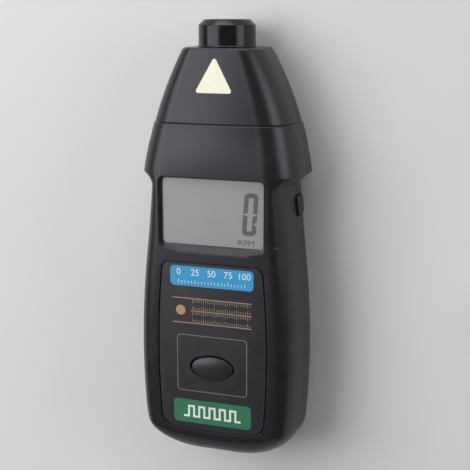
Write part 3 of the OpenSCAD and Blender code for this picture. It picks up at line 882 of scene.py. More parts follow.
    def break_part(self, y: Array) -> Array:
        """Way through the break between the flat face and the head, eased."""
        return smooth((y - self.shoulder_y + self.break_l / 2) / self.break_run)

    def crown(self, x: Array, y: Array) -> Array:
        """Drop of the crowned head beside its middle line: x squared over twice crown_r, eased in."""
        return self.break_part(y) * x**2 / (2 * self.crown_r)

    def back_z(self, y: Array) -> Array:
        """Height of the back: flat, with a square-law lift towards the nose.

        Args:
            y: places along the length.

        Returns:
            The height at each place.
        """
        start = self.shoulder_y + self.lift_back
        lift = (self.parting_z - self.nose_h) * unit((y - start) / (self.head_end - start)) ** 2
        return lift + self.nose_cut(y) + self.seam_cut(y)

    def head_part(self, y: Array) -> Array:
        """Square of the way from the shoulder to the nose."""
        return unit((y - self.shoulder_y) / self.head_l) ** 2

    def front_a(self, y: Array) -> Array:
        """Width of the front rounding: full low down, tight at the waist, full again on the head.

        Args:
            y: places along the length.

        Returns:
            The width at each place.
        """
        low = np.minimum(self.fillet_w, self.lower_half(np.maximum(y, self.corner_l)) - self.face_half)
        head = lerp(self.head_fillet_w, self.nose_fillet_w, self.head_part(y))
        return lerp(low, head, self.ledge_part(y))

    def front_b(self, y: Array) -> Array:
        """Depth of the front rounding, eased from bottom end to lower body, shoulder and nose.

        Args:
            y: places along the length.

        Returns:
            The depth at each place.
        """
        low = lerp(self.end_fillet_d, self.fillet_d, smooth(y / self.end_ease_l))
        rise = smooth((y - self.taper_y) / (self.shoulder_y - self.taper_y))
        return lerp(lerp(low, self.head_fillet_d, rise), self.nose_fillet_d, self.head_part(y))

    def stations(self, inset: float) -> Array:
        """Places of the rings along y, closer where the outline turns.

        Args:
            inset: how far the form is drawn in.

        Returns:
            The places, from the bottom end to the nose.
        """
        turn = math.pi / 2
        corner = inset + self.corner_l * (1 - np.cos(np.linspace(0, turn, self.corner_rings)))
        seam = self.seam_y + self.seam_w * np.linspace(-self.seam_reach, self.seam_reach, self.seam_rings)
        tip = self.head_end - inset
        nose = tip - self.nose_round * (1 - np.sin(np.linspace(0, turn, self.nose_rings)))
        near, past = self.shoulder_y - self.shoulder_near, self.shoulder_y + self.shoulder_near
        return np.concatenate([
            corner[:-1],
            spread(corner[-1], self.waist_y, self.body_step),
            spread(self.waist_y, near, self.ledge_step),
            spread(near, past, self.shoulder_step),
            spread(past, seam[0], self.head_step),
            seam[:-1],
            spread(seam[-1], nose[0], self.nose_step),
            nose,
        ])

    def solid(self, shell: Shell, inset: float = 0.0) -> Solid:
        """One shell's form as a closed loft, drawn in by inset.

        A ring rises from the parting plane over a small bevel and round the edge: a point of the
        rounding at angle t is the plan drawn in by a (1 - cos t), and the face drawn down by
        b (1 - sin t). The other side mirrors it, and even points run across the flat between them.

        Args:
            shell: which half.
            inset: wall thickness, for the hollow inside.

        Returns:
            The points and faces.
        """
        up = shell.value
        front = shell is Shell.FRONT
        y = self.stations(inset)
        yi = np.maximum(y, inset + self.end_flat)[:, None]
        face = self.front_z(yi) if front else self.back_z(yi)
        even = np.full_like(yi, self.rear_round)
        sizes = (self.front_a(yi), self.front_b(yi)) if front else (even, even)
        a, b = (np.maximum(self.least_round, size - inset) for size in sizes)
        end_l = (self.end_round_l if front else self.rear_end_l) - inset
        top = np.arccos(np.clip(1 - (yi - inset) / end_l, 0, 1))
        t = top * np.linspace(0, 1, self.round_points)[None, :]
        x = self.inset_half(yi, inset + a * (1 - np.cos(t)), inset + end_l * (1 - np.cos(t)))
        drop = self.crown(x[:, -1:], yi) if front else 0.0
        z = face - up * inset - drop - up * b * (1 - np.sin(t))
        foot = self.inset_half(yi, np.full_like(yi, inset), np.full_like(yi, inset))
        bevel = 0.0 if inset else self.edge_bevel
        base = self.parting_z - up * (PAST if inset else 0.0)
        turn = np.linspace(0, math.pi / 2, self.bevel_points)[None, :] if bevel else np.zeros((1, 1))
        x = np.concatenate([foot - bevel * (1 - np.sin(turn)), x], 1)
        z = np.concatenate([base + up * bevel * (1 - np.cos(turn)) + 0 * foot, z], 1)
        across = np.linspace(1, -1, self.flat_points)[None, 1:-1]
        level = z[:, -1:] + drop * (1 - across**2)
        x = np.concatenate([x, x[:, -1:] * across, -x[:, ::-1]], 1)
        z = np.concatenate([z, level, z[:, ::-1]], 1)
        return loft(np.stack([x, np.repeat(y[:, None], x.shape[1], 1), z], -1))


@dataclass(frozen=True)
class ScrewPosts:
    """Posts that the case screws and the board screws run into, in millimetres."""

    case: tuple[tuple[float, float], ...] = ((26.0, 24.0), (-26.0, 24.0), (24.1, 134.9), (-24.1, 134.9))
    board: tuple[tuple[float, float], ...] = ((20.3, 36.0), (-20.3, 36.0), (20.3, 78.7), (-20.3, 78.7))
    case_front_r: float = 3.2
    case_rear_r: float = 4.2
    case_hole: float = 1.4
    case_clear: float = 1.6
    case_pilot: float = 10.0
    head_r: float = 3.0
    head_z: float = 9.0
    board_r: float = 2.4
    board_hole: float = 1.1
    board_top: float = 26.7
    board_pilot: float = 6.0


@dataclass
class Housing:
    """The front and rear shells with every opening in them."""

    shop: Workshop
    form: HousingForm
    posts: ScrewPosts = field(default_factory=ScrewPosts)
    lcd_w: float = 45.6
    lcd_l: float = 28.4
    lcd_y: float = 110.6
    lcd_corner: float = 1.8
    lcd_bevel: float = 1.5
    lcd_bevel_d: float = 0.95
    lcd_bevel_power: float = 1.4
    lcd_bow: float = 1.6
    lcd_rings: int = 7
    over: float = 2.0
    window_top: float = 35.4
    window_lap: float = 2.3
    pocket_corner: float = 1.0
    nozzle_hole_r: float = 11.85
    bore_back: float = 0.5
    saddle: tuple[float, float] = (172.0, 174.0)
    saddle_h: float = 8.0
    saddle_gap: float = 0.6
    post_gap: float = 0.9
    key_rim: float = 0.35
    pip_at: tuple[float, float] = (28.1, 97.1)
    pip_r: float = 1.1
    pip_rise: float = 0.4
    pip_reach: float = 80.0
    door_half: float = 17.8
    door_edge_half: float = 19.7
    door_edge_z: float = 2.1
    door_l: float = 66.3
    rail_z: float = 3.7
    rail_top: float = 5.2
    rail_half: float = 21.4
    rail_sink: float = 0.4
    rail_y: tuple[float, float] = (10.45, 68.0)
    bay_half: float = 13.55
    bay_wall: float = 1.6
    bay_lap: float = 0.1
    bay_stop_y: tuple[float, float] = (9.7, 11.2)
    bay_stop_h: float = 12.7
    slot_y: tuple[float, float] = (107.65, 116.75)
    slot_z: float = 7.9

    def lcd_outline(self, grow: float, corner: float) -> Array:
        """Outline of the display opening, grown evenly, with corners of that radius."""
        ring = rounded(self.lcd_w + 2 * grow, self.lcd_l + 2 * grow, corner)
        return ring + np.array([0, self.lcd_y])

    def _lcd_ring(self, grow: float, bow: float, steps: int = 8, along: int = 26) -> Array:
        """Outline of the display's bevel: its lower edge drops by bow (1 - (x over half width) squared).

        Args:
            grow: how far the sides and the lower edge lie outside the opening; the top goes half as far.
            bow: drop of the middle of the lower edge.
            steps: points round each corner, less one.
            along: points along the lower edge.

        Returns:
            The ring, with points along its lower edge.
        """
        width, length = self.lcd_w + 2 * grow, self.lcd_l + 1.5 * grow
        ring = rounded(width, length, self.lcd_corner + grow / 2, steps) - np.array([0, grow / 4])
        split = 3 * (steps + 1)
        edge = lerp(ring[split - 1], ring[split], np.linspace(0, 1, along)[1:-1, None])
        ring = np.concatenate([ring[:split], edge, ring[split:]])
        ring[:, 1] -= bow * (1 - (2 * ring[:, 0] / width) ** 2) * (ring[:, 1] < 0)
        return ring + np.array([0, self.lcd_y])

    def _lcd_bevel(self) -> Solid:
        """Cutter of the display's bevel: from the opening out to its grown and bowed outline at the face,
        rising as the way out to the power lcd_bevel_power.

        Returns:
            The points and faces.
        """
        inner, outer = self._lcd_ring(0.0, 0.0), self._lcd_ring(self.lcd_bevel, self.lcd_bow)
        face = self.form.front_h
        rows = [
            lifted(lerp(inner, outer, t), face - self.lcd_bevel_d * (1 - t**self.lcd_bevel_power))
            for t in np.linspace(0, 1, self.lcd_rings)
        ]
        return loft(np.stack([*rows, lifted(outer, face + self.over)]))

    def _pip(self, rows: int = 13, count: int = 32) -> Solid:
        """The pip: rings of a ball that stands out of the front rounding, along its normal, by pip_rise.

        Args:
            rows: rings of the ball.
            count: points in each ring.

        Returns:
            The points and faces.
        """
        form = self.form
        x, y = self.pip_at
        half, a, b = (float(size(np.array(y))) for size in (form.plan_half, form.front_a, form.front_b))
        turn = math.acos(1 - (half - x) / a)
        normal = np.array([math.cos(turn) / a, 0.0, math.sin(turn) / b])
        crest = np.array([x, y, form.front_h - b * (1 - math.sin(turn))])
        centre = crest - (self.pip_r - self.pip_rise) * normal / np.linalg.norm(normal)
        t = np.radians(np.linspace(-self.pip_reach, self.pip_reach, rows))
        return loft(np.stack([
            lifted(oval(wide, wide, count) + centre[:2], centre[2] + rise)
            for wide, rise in zip(2 * self.pip_r * np.cos(t), self.pip_r * np.sin(t))
        ]))

    def _saddle(self, low: float, high: float) -> Solid:
        """Ears that hold the nozzle behind its flange.

        Args:
            low: their foot.
            high: their top.

        Returns:
            The points and faces.
        """
        start, stop = self.saddle
        reach = float(self.form.plan_half(np.array(start))) - self.form.wall / 2 - self.saddle_gap
        return bar((-reach, start, low), (reach, stop, high))

    def _bore(self) -> Solid:
        """Cutter of the round hole that the nozzle stands in."""
        start, stop = self.saddle[0] - self.bore_back, self.form.head_end + PAST
        return rod((0, self.form.parting_z), self.nozzle_hole_r, start, stop)

    def build_front(self, label: "FaceLabel", key: "OvalKey") -> None:
        """Front shell: hollow form, posts, bevelled display opening, label recess, key hole and pip.

        Args:
            label: gives the recess its outline.
            key: gives the hole its outline.
        """
        form, posts, shop = self.form, self.posts, self.shop
        base, face = form.parting_z, form.front_h
        shell = shop.raw("front_case", form.solid(Shell.FRONT))
        shop.carve(shell, Carve.CUT, form.solid(Shell.FRONT, form.wall))
        tops = [float(form.front_z(np.array(y))) - form.wall - self.post_gap for _, y in posts.case]
        columns = [post(at, posts.case_front_r, base, top) for at, top in zip(posts.case, tops)]
        columns += [post(at, posts.board_r, posts.board_top, face - form.wall / 2) for at in posts.board]
        shop.carve(shell, Carve.ADD, joined(columns), self._saddle(base, base + self.saddle_h))
        pilots = [post(at, posts.case_hole, base - PAST, base + posts.case_pilot) for at in posts.case]
        low, high = posts.board_top - PAST, posts.board_top + posts.board_pilot
        pilots += [post(at, posts.board_hole, low, high) for at in posts.board]
        pocket = self.lcd_outline(self.window_lap, self.pocket_corner)
        shop.carve(
            shell, Carve.CUT,
            joined(pilots),
            prism(self.lcd_outline(0.0, self.lcd_corner), self.window_top - PAST, face + self.over),
            prism(pocket, self.window_top - 2 * form.wall, self.window_top),
            self._lcd_bevel(),
            flared(label.outline(label.half), label.floor, face, label.recess_rim),
            label.channel(),
            flared(key.hole(), face - form.wall - PAST, label.floor, self.key_rim),
            self._bore(),
        )
        shop.carve(shell, Carve.ADD, self._pip())
        shop.finish(shell, Body.HOUSING, "front_moulding", "housing", ["front_shell"])

    def build_rear(self) -> None:
        """Rear shell: hollow form, posts, door rails and bay, screw wells, door opening and side slot."""
        form, posts, shop = self.form, self.posts, self.shop
        base, edge = form.parting_z, self.door_edge_half
        shell = shop.raw("rear_case", form.solid(Shell.REAR))
        shop.carve(shell, Carve.CUT, form.solid(Shell.REAR, form.wall))
        feet = [float(form.back_z(np.array(y))) + form.wall / 2 for _, y in posts.case]
        columns = [post(at, posts.case_rear_r, foot, base) for at, foot in zip(posts.case, feet)]
        shop.carve(shell, Carve.ADD, joined(columns), self._saddle(base - self.saddle_h, base))
        y0, y1 = self.rail_y
        for side in (-1, 1):
            for x0, x1, z0, z1 in (
                (edge, self.rail_half, form.wall - self.rail_sink, self.rail_top),
                (self.bay_half, self.rail_half, self.rail_z, self.rail_top),
                (self.bay_half, self.bay_half + self.bay_wall, self.rail_z, base - PAST),
            ):
                low, high = sorted((side * x0, side * x1))
                shop.carve(shell, Carve.ADD, bar((low, y0, z0), (high, y1, z1)))
        half, (y0, y1) = self.bay_half + self.bay_lap, self.bay_stop_y
        shop.carve(shell, Carve.ADD, bar((-half, y0, self.rail_z), (half, y1, self.bay_stop_h)))
        wall_x, reach = float(form.lower_half(np.mean(self.slot_y))), 2 * form.wall
        y0, y1 = self.slot_y
        shop.carve(
            shell, Carve.CUT,
            bar((-self.door_half, -PAST, -PAST), (self.door_half, self.door_l, self.rail_z)),
            bar((-edge, -PAST, self.door_edge_z), (edge, self.door_l, self.rail_z)),
            self._bore(),
            joined([post(at, posts.case_clear, posts.head_z - PAST, base + PAST) for at in posts.case]),
            joined([post(at, posts.head_r, -PAST, posts.head_z) for at in posts.case]),
            bar((wall_x - reach, y0, self.slot_z), (wall_x + reach, y1, base + PAST)),
        )
        shop.finish(shell, Body.HOUSING, "rear_moulding", "housing", ["rear_shell"])


@dataclass
class BatteryCover:
    """The sliding battery door, with its grip grooves."""

    shop: Workshop
    form: HousingForm
    half: float = 17.5
    edge_half: float = 19.4
    length: float = 66.0
    thick: float = 2.4
    top: float = 3.4
    grip_half: float = 9.0
    grip_y: float = 14.0
    grip_pitch: float = 3.0
    grip_w: float = 1.2
    grip_d: float = 0.5
    grips: int = 5
    grip_points: int = 24

    def build(self) -> None:
        """The plate and its sliding edges, cut to the rear shell's form, less the grooves."""
        shop = self.shop
        door = shop.raw("battery_cover", bar((-self.half, 0, 0), (self.half, self.length, self.top)))
        edge = bar((-self.edge_half, 0, self.thick), (self.edge_half, self.length, self.top))
        shop.carve(door, Carve.ADD, edge)
        shop.carve(door, Carve.KEEP, self.form.solid(Shell.REAR))
        groove = oval(self.grip_w, 2 * self.grip_d, self.grip_points)
        cuts = []
        for i in range(self.grips):
            ring = groove + np.array([self.grip_y + i * self.grip_pitch + self.grip_w / 2, 0])
            ends = [np.insert(ring, 0, x, axis=1) for x in (-self.grip_half, self.grip_half)]
            cuts.append(loft(np.stack(ends)))
        shop.carve(door, Carve.CUT, joined(cuts))
        shop.finish(door, Body.BATTERY_COVER, "door_moulding", "housing", ["battery_door"])


@dataclass
class OpticalHead:
    """Nozzle barrel and lens, turned about the optical axis."""

    shop: Workshop
    form: HousingForm
    barrel_r: float = 12.1
    neck_r: float = 11.65
    collar_r: float = 12.4
    collar_l: float = 0.8
    collar_gap: float = 0.05
    collar_bevel: float = 0.3
    flange_r: float = 12.65
    flange_y: float = 174.2
    flange_l: float = 2.0
    tail_y: float = 159.6
    bevel: float = 2.3
    aperture_r: float = 8.6
    lens_y: float = 186.4
    lens_r: float = 10.0
    lens_seat_r: float = 10.2
    lens_edge: float = 1.6
    lens_sag: float = 2.2
    lens_gap: float = 0.1
    lens_play: float = 0.02
    lens_rings: int = 24
    pole_r: float = 0.02
    soft: float = 0.22
    soft_share: float = 0.45

    def _eased(self, corners: Sequence[tuple[float, float]], steps: int = 4) -> Array:
        """A closed profile whose corners are rounded by a parabola that starts soft before each corner.

        Args:
            corners: the profile's corners, as (radius, y).
            steps: points round each corner, less one.

        Returns:
            The profile.
        """
        p = np.array(corners, float)
        before, after = np.roll(p, 1, 0) - p, np.roll(p, -1, 0) - p
        lengths = [np.linalg.norm(d, axis=1, keepdims=True) for d in (before, after)]
        reach = np.minimum(self.soft, self.soft_share * np.minimum(*lengths))
        a, b = p + before / lengths[0] * reach, p + after / lengths[1] * reach
        t = np.linspace(0, 1, steps + 1)[None, :, None]
        curve = (1 - t) ** 2 * a[:, None] + 2 * t * (1 - t) * p[:, None] + t**2 * b[:, None]
        return curve.reshape(-1, 2)

    def build(self) -> None:
        """Turns the barrel and the lens."""
        nose, tip = self.form.head_end, self.form.total_l
        axis = np.array([0.0, self.form.parting_z])
        back, front = self.flange_y, self.flange_y + self.flange_l
        foot = nose + self.collar_gap
        barrel = self._eased([
            (self.lens_seat_r, self.tail_y), (self.neck_r, self.tail_y), (self.neck_r, back),
            (self.flange_r, back), (self.flange_r, front), (self.neck_r, front), (self.neck_r, foot),
            (self.collar_r, foot), (self.collar_r, nose + self.collar_l - self.collar_bevel),
            (self.barrel_r, nose + self.collar_l), (self.barrel_r, tip - self.bevel),
            (self.barrel_r - self.bevel, tip), (self.aperture_r, tip), (self.aperture_r, self.lens_y),
            (self.lens_seat_r, self.lens_y),
        ])
        dome_r = (self.aperture_r**2 + self.lens_sag**2) / (2 * self.lens_sag)
        dome_edge = self.aperture_r - self.lens_gap
        r = np.linspace(dome_edge, self.pole_r, self.lens_rings)
        dome = np.stack([r, self.lens_y + self.lens_sag - dome_r + np.sqrt(dome_r**2 - r**2)], -1)
        back, seat = self.lens_y - self.lens_edge, self.lens_y - self.lens_play
        edge = np.array([
            (self.pole_r, back), (self.lens_r, back), (self.lens_r, seat), (dome_edge, seat),
        ])
        lens = np.concatenate([edge, dome])
        for name, profile, finish, slot, node in (
            ("optical_nozzle", barrel, "nozzle_gloss", "nozzle", "nozzle"),
            ("front_lens", lens, "lens_glass", "lens_glass", "lens"),
        ):
            self.shop.make(name, lathe(profile, axis), Body.HOUSING, finish, slot, [node])


@dataclass
class OvalKey:
    """The domed oval key on the face."""

    shop: Workshop
    form: HousingForm
    y: float = 42.7
    width: float = 20.1
    length: float = 10.9
    gap: float = 0.55
    rise: float = 0.9
    dome_r: float = 72.0
    sink: float = 0.2
    edge: tuple[float, float] = (4.0, 1.3)
    edge_share: tuple[float, float] = (0.53, 0.47)
    edge_rings: int = 14
    dome_rings: int = 16
    pole_share: float = 0.02
    flange: float = 1.4
    flange_z: tuple[float, float] = (33.0, 34.5)
    post_r: float = 2.5
    post_z: float = 31.4

    def hole(self) -> Array:
        """Outline of the opening round the key."""
        return oval(self.width, self.length) + np.array([0, self.y])

    def build(self) -> None:
        """Cap, flange and post in one loft: ovals that step in and out with height, then the domed top,
        whose height is that of a sphere, drawn down round a rim that is softer towards +y."""
        cap_w, cap_l = self.width - 2 * self.gap, self.length - 2 * self.gap
        centre = np.array([0, self.y - self.sink])
        base = oval(1, 1)
        crown = self.form.front_h + self.rise

        def ring(width: float, length: float, height: float) -> Array:
            """One level oval."""
            return lifted(base * np.array([width, length]) + centre, height)

        def domed(share: float, drop: float) -> Array:
            """An oval of a share of the cap, laid on the sphere and dropped.

            Args:
                share: its size over the cap's.
                drop: how far it is drawn down.

            Returns:
                The ring.
            """
            flat = base * np.array([cap_w, cap_l]) * share
            soft = self.edge_share[0] + self.edge_share[1] * 2 * base[:, 1]
            height = crown - self.dome_r + np.sqrt(self.dome_r**2 - (flat**2).sum(1)) - drop * soft
            return np.concatenate([flat + centre, height[:, None]], 1)

        post_w = 2 * self.post_r
        flange_w, flange_l = self.width + 2 * self.flange, self.length + 2 * self.flange
        rows = [
            ring(post_w, post_w, self.post_z),
            ring(post_w, post_w, self.flange_z[0]),
            ring(flange_w, flange_l, self.flange_z[0]),
            ring(flange_w, flange_l, self.flange_z[1]),
            ring(cap_w, cap_l, self.flange_z[1]),
        ]
        wide, deep = 2 * self.edge[0] / cap_l, self.edge[1]
        for t in np.linspace(0, math.pi / 2, self.edge_rings):
            rows.append(domed(1 - wide * (1 - math.cos(t)), deep * (1 - math.sin(t))))
        shares = np.linspace(1 - wide, self.pole_share, self.dome_rings)[1:]
        rows += [domed(share, 0.0) for share in shares]
        cap = loft(np.stack(rows))
        self.shop.make("oval_key", cap, Body.MEMORY_KEY, "key_moulding", "keys", ["memory_button"])


@dataclass
class SideKey:
    """The key in the right-hand wall."""

    shop: Workshop
    form: HousingForm
    y: float = 112.2
    length: float = 8.1
    z: tuple[float, float] = (8.4, 15.8)
    proud: float = 1.1
    soft: float = 0.6
    corner: float = 0.9
    edge: float = 0.45
    edge_rings: int = 7
    flange_t: float = 1.2
    flange_lap: float = 1.4

    def build(self) -> None:
        """Cap as a stack of rounded rectangles along x, the last ones drawn in round a soft edge, with
        the flange behind the wall."""
        low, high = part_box("test_button")
        flange_x, mid_z = low[0] / MM, sum(self.z) / 2
        wall = float(self.form.lower_half(np.array(self.y)))

        def ring(x: float, inset: float, bulge: float) -> Array:
            """A rounded rectangle across x, drawn in, that follows the wall's slant; its ends fall back
            by the fourth power of the way from its middle.

            Args:
                x: place of its middle.
                inset: how far its sides are drawn in.
                bulge: share of the slant and of the fall that it takes.

            Returns:
                The ring.
            """
            height = self.z[1] - self.z[0]
            flat = rounded(self.length - 2 * inset, height - 2 * inset, self.corner)
            slant = self.form.lower_half(flat[:, 0] + self.y) - wall
            ends = -self.soft * (np.abs(flat[:, 0]) / (self.length / 2)) ** 4
            return np.stack([x + bulge * (slant + ends), flat[:, 0] + self.y, flat[:, 1] + mid_z], -1)

        face = wall + self.proud - self.edge
        rows = [ring(flange_x, 0.0, 0.0), ring(flange_x + self.flange_t, 0.0, 0.0)]
        for t in np.linspace(0, math.pi / 2, self.edge_rings):
            rows.append(ring(face + self.edge * math.sin(t), self.edge * (1 - math.cos(t)), 1.0))
        key = self.shop.raw("side_key", loft(np.stack(rows)))
        half = self.length / 2 + self.flange_lap
        flange = bar(
            (flange_x, self.y - half, low[2] / MM),
            (flange_x + self.flange_t, self.y + half, high[2] / MM),
        )
        self.shop.carve(key, Carve.ADD, flange)
        self.shop.finish(key, Body.TEST_KEY, "key_moulding", "keys", ["test_button"])


@dataclass
class FaceLabel:
    """The printed film on the face: plate, bands, rules and the line round the key."""

    shop: Workshop
    half: float = 24.95
    groove: float = 0.5
    groove_d: float = 0.4
    y: tuple[float, float] = (12.9, 88.7)
    bow: float = 1.8
    side_y: float = 48.0
    side_r: float = 390.0
    corner: float = 4.4
    top_corner: float = 3.2
    thick: float = 0.25
    edge: float = 0.08
    floor: float = 36.7
    recess_rim: float = 0.15
    key_gap: float = 0.25
    ink: float = 0.03
    blue: tuple[float, float, float] = (37.7, 78.4, 87.1)
    green: tuple[float, float, float] = (35.8, 16.5, 27.1)
    band_corner: float = 1.8
    rule_w: float = 0.42
    rule_y: tuple[float, float, float] = (72.95, 67.5, 62.0)
    rule_half: float = 18.1
    rule_start: float = -9.7
    tick_w: float = 0.24
    tick_h: tuple[float, float] = (1.15, 1.75)
    tick_pitch: float = 1.0
    tick_gap: float = 0.25
    tick_every: int = 5
    disc_at: tuple[float, float] = (-14.2, 67.5)
    disc_w: float = 4.4
    disc_points: int = 64
    dial_numbers: tuple[int, ...] = (0, 25, 50, 75, 100)
    dial_half: float = 15.0
    dial_h: float = 2.8
    dial_margin: float = 1.2
    wave_half: float = 13.2
    wave_h: float = 4.6
    wave_w: float = 0.9
    waves: int = 5
    frame: tuple[float, float, float] = (31.85, 31.25, 56.55)
    frame_corner: float = 1.6
    frame_line: float = 0.36

    def outline(self, half: float, across: int = 97, up: int = 25, turn: int = 13) -> Array:
        """Outline of half width: the lower edge bows as x squared and turns up its corners by a quarter
        circle, the top corners are arcs, and the sides draw in by the square of the way from side_y over
        twice side_r.

        Args:
            half: widest half width; the other edges move with it.
            across: points along the lower edge.
            up: points up each side.
            turn: points round each top corner.

        Returns:
            The ring.
        """
        x = -half * np.cos(np.linspace(0, math.pi, across))
        low = self.y[0] + self.half - half + self.bow * (x / half) ** 2
        low = low + self.corner * (1 - quarter((half - np.abs(x)) / self.corner))
        t = np.linspace(0, math.pi / 2, turn)
        r = self.top_corner
        top = self.y[1] - self.half + half - r
        side = np.linspace(low[-1], top, up)[1:-1]
        edge = np.full_like(side, half)
        ring = np.concatenate([
            np.stack([x, low], -1),
            np.stack([edge, side], -1),
            np.stack([half - r + r * np.cos(t), top + r * np.sin(t)], -1),
            np.stack([-half + r - r * np.sin(t), top + r * np.cos(t)], -1),
            np.stack([-edge, side[::-1]], -1),
        ])
        ring[:, 0] *= 1 - (ring[:, 1] - self.side_y) ** 2 / (2 * self.side_r * half)
        return ring

    def channel(self) -> Solid:
        """Cutter of the fine groove round the film: a line as wide as the gap, sunk into the recess."""
        middle = self.outline(self.half - self.groove / 2)
        return self._line(middle, self.groove, self.floor - self.groove_d, self.top)

    @property
    def top(self) -> float:
        """Height of the film's face."""
        return self.floor + self.thick

    def _flat(self, ring: Array, layer: int = 1) -> Solid:
        """A printed area: a film of ink on the label, layer deep."""
        return prism(ring, self.top + (layer - 1) * self.ink, self.top + layer * self.ink)

    @staticmethod
    def _band(band: tuple[float, float, float], corner: float) -> Array:
        """Outline of a band from its width and its lower and upper edge."""
        width, low, high = band
        return rounded(width, high - low, corner) + np.array([0, (low + high) / 2])

    @staticmethod
    def _line(ring: Array, width: float, low: float, high: float) -> Solid:
        """A closed line: a rectangle carried round the ring, half its width to each side.

        Args:
            ring: middle of the line.
            width: width of the line.
            low: its lower height.
            high: its upper height.

        Returns:
            The points and faces.
        """
        inner, outer = grown(ring, -width / 2), grown(ring, width / 2)
        edges = ((inner, low), (outer, low), (outer, high), (inner, high))
        return hoop(np.stack([lifted(edge, height) for edge, height in edges]))

    def _ticks(self, x: Array, foot: float, up: float, layer: int = 1) -> list[Solid]:
        """A row of ticks, with a taller one first and after every so many.

        Args:
            x: places of the ticks.
            foot: y of their feet.
            up: 1 where they stand up, -1 where they hang.
            layer: the film of ink that they are printed in.

        Returns:
            A solid for each tick.
        """
        tall = np.where(np.arange(len(x)) % self.tick_every == 0, self.tick_h[1], self.tick_h[0])
        rings = [
            rounded(self.tick_w, h, self.tick_w / 3, 2) + np.array([at, foot + up * h / 2])
            for at, h in zip(x, tall)
        ]
        return [self._flat(ring, layer) for ring in rings]

    def _rules(self) -> Solid:
        """Three fine rules with ticks on both sides of the gaps between them.

        Returns:
            The points and faces.
        """
        top, mid, low = self.rule_y
        half, start = self.rule_half, self.rule_start
        solids = []
        for x0, y in ((-half, top), (start, mid), (-half, low)):
            rule = rounded(half - x0, self.rule_w, self.rule_w / 2.1, 3)
            solids.append(self._flat(rule + np.array([(x0 + half) / 2, y])))
        x = np.arange(start + self.tick_pitch, half, self.tick_pitch)
        edge = self.rule_w / 2 + self.tick_gap
        for y, up in ((top, -1), (mid, 1), (mid, -1), (low, 1)):
            solids += self._ticks(x, y + up * edge, up)
        return joined(solids)

    def _dial(self) -> Solid:
        """Plain numbers over a row of ticks.

        Returns:
            The points and faces.
        """
        _, low, high = self.blue
        x = np.linspace(-self.dial_half, self.dial_half, len(self.dial_numbers))
        fine = np.linspace(-self.dial_half, self.dial_half, self.tick_every * (len(x) - 1) + 1)
        solids = self._ticks(fine, low + self.dial_margin, 1, 2)
        y, foot = high - self.dial_margin - self.dial_h / 2, self.top + self.ink
        for number, at in zip(self.dial_numbers, x):
            solids.append(figures(str(number), (0.0, self.dial_h), (at, y), foot, self.ink))
        return joined(solids)

    def _wave(self) -> Solid:
        """A square wave: level stretches that step up and down, drawn with one stroke.

        Returns:
            The points and faces.
        """
        _, low, high = self.green
        x = np.repeat(np.linspace(-self.wave_half, self.wave_half, 2 * self.waves + 2), 2)[1:-1]
        level = np.repeat(np.arange(2 * self.waves + 1) % 2, 2) - 0.5
        path = np.stack([x, (low + high) / 2 + self.wave_h * level], -1)
        return self._flat(carried(path, self.wave_w), 2)

    def build(self, key: OvalKey) -> None:
        """Film with its key hole, then everything printed on it.

        Args:
            key: gives the hole its outline.
        """
        plate = pillow(self.outline(self.half - self.groove), self.floor, self.top, self.edge)
        film = self.shop.raw("label_film", plate)
        hole = prism(grown(key.hole(), self.key_gap), self.floor - PAST, self.top + PAST)
        self.shop.carve(film, Carve.CUT, hole)
        self.shop.finish(film, Body.HOUSING, "label_film", "label_film", ["face_label"])
        frame = self._band(self.frame, self.frame_corner)
        frame_line = self._line(frame, self.frame_line, self.top, self.top + self.ink)
        disc = oval(self.disc_w, self.disc_w, self.disc_points) + np.array(self.disc_at)
        for name, solid, finish in (
            ("blue_band", self._flat(self._band(self.blue, self.band_corner)), "blue_ink"),
            ("green_band", self._flat(self._band(self.green, self.band_corner)), "green_ink"),
            ("key_frame_line", frame_line, "frame_ink"),
            ("label_rules", self._rules(), "tan_ink"),
            ("label_disc", self._flat(disc), "disc_ink"),
            ("blue_dial", self._dial(), "white_ink"),
            ("green_wave", self._wave(), "white_ink"),
        ):
            self.shop.make(name, solid, Body.HOUSING, finish, "label_film")


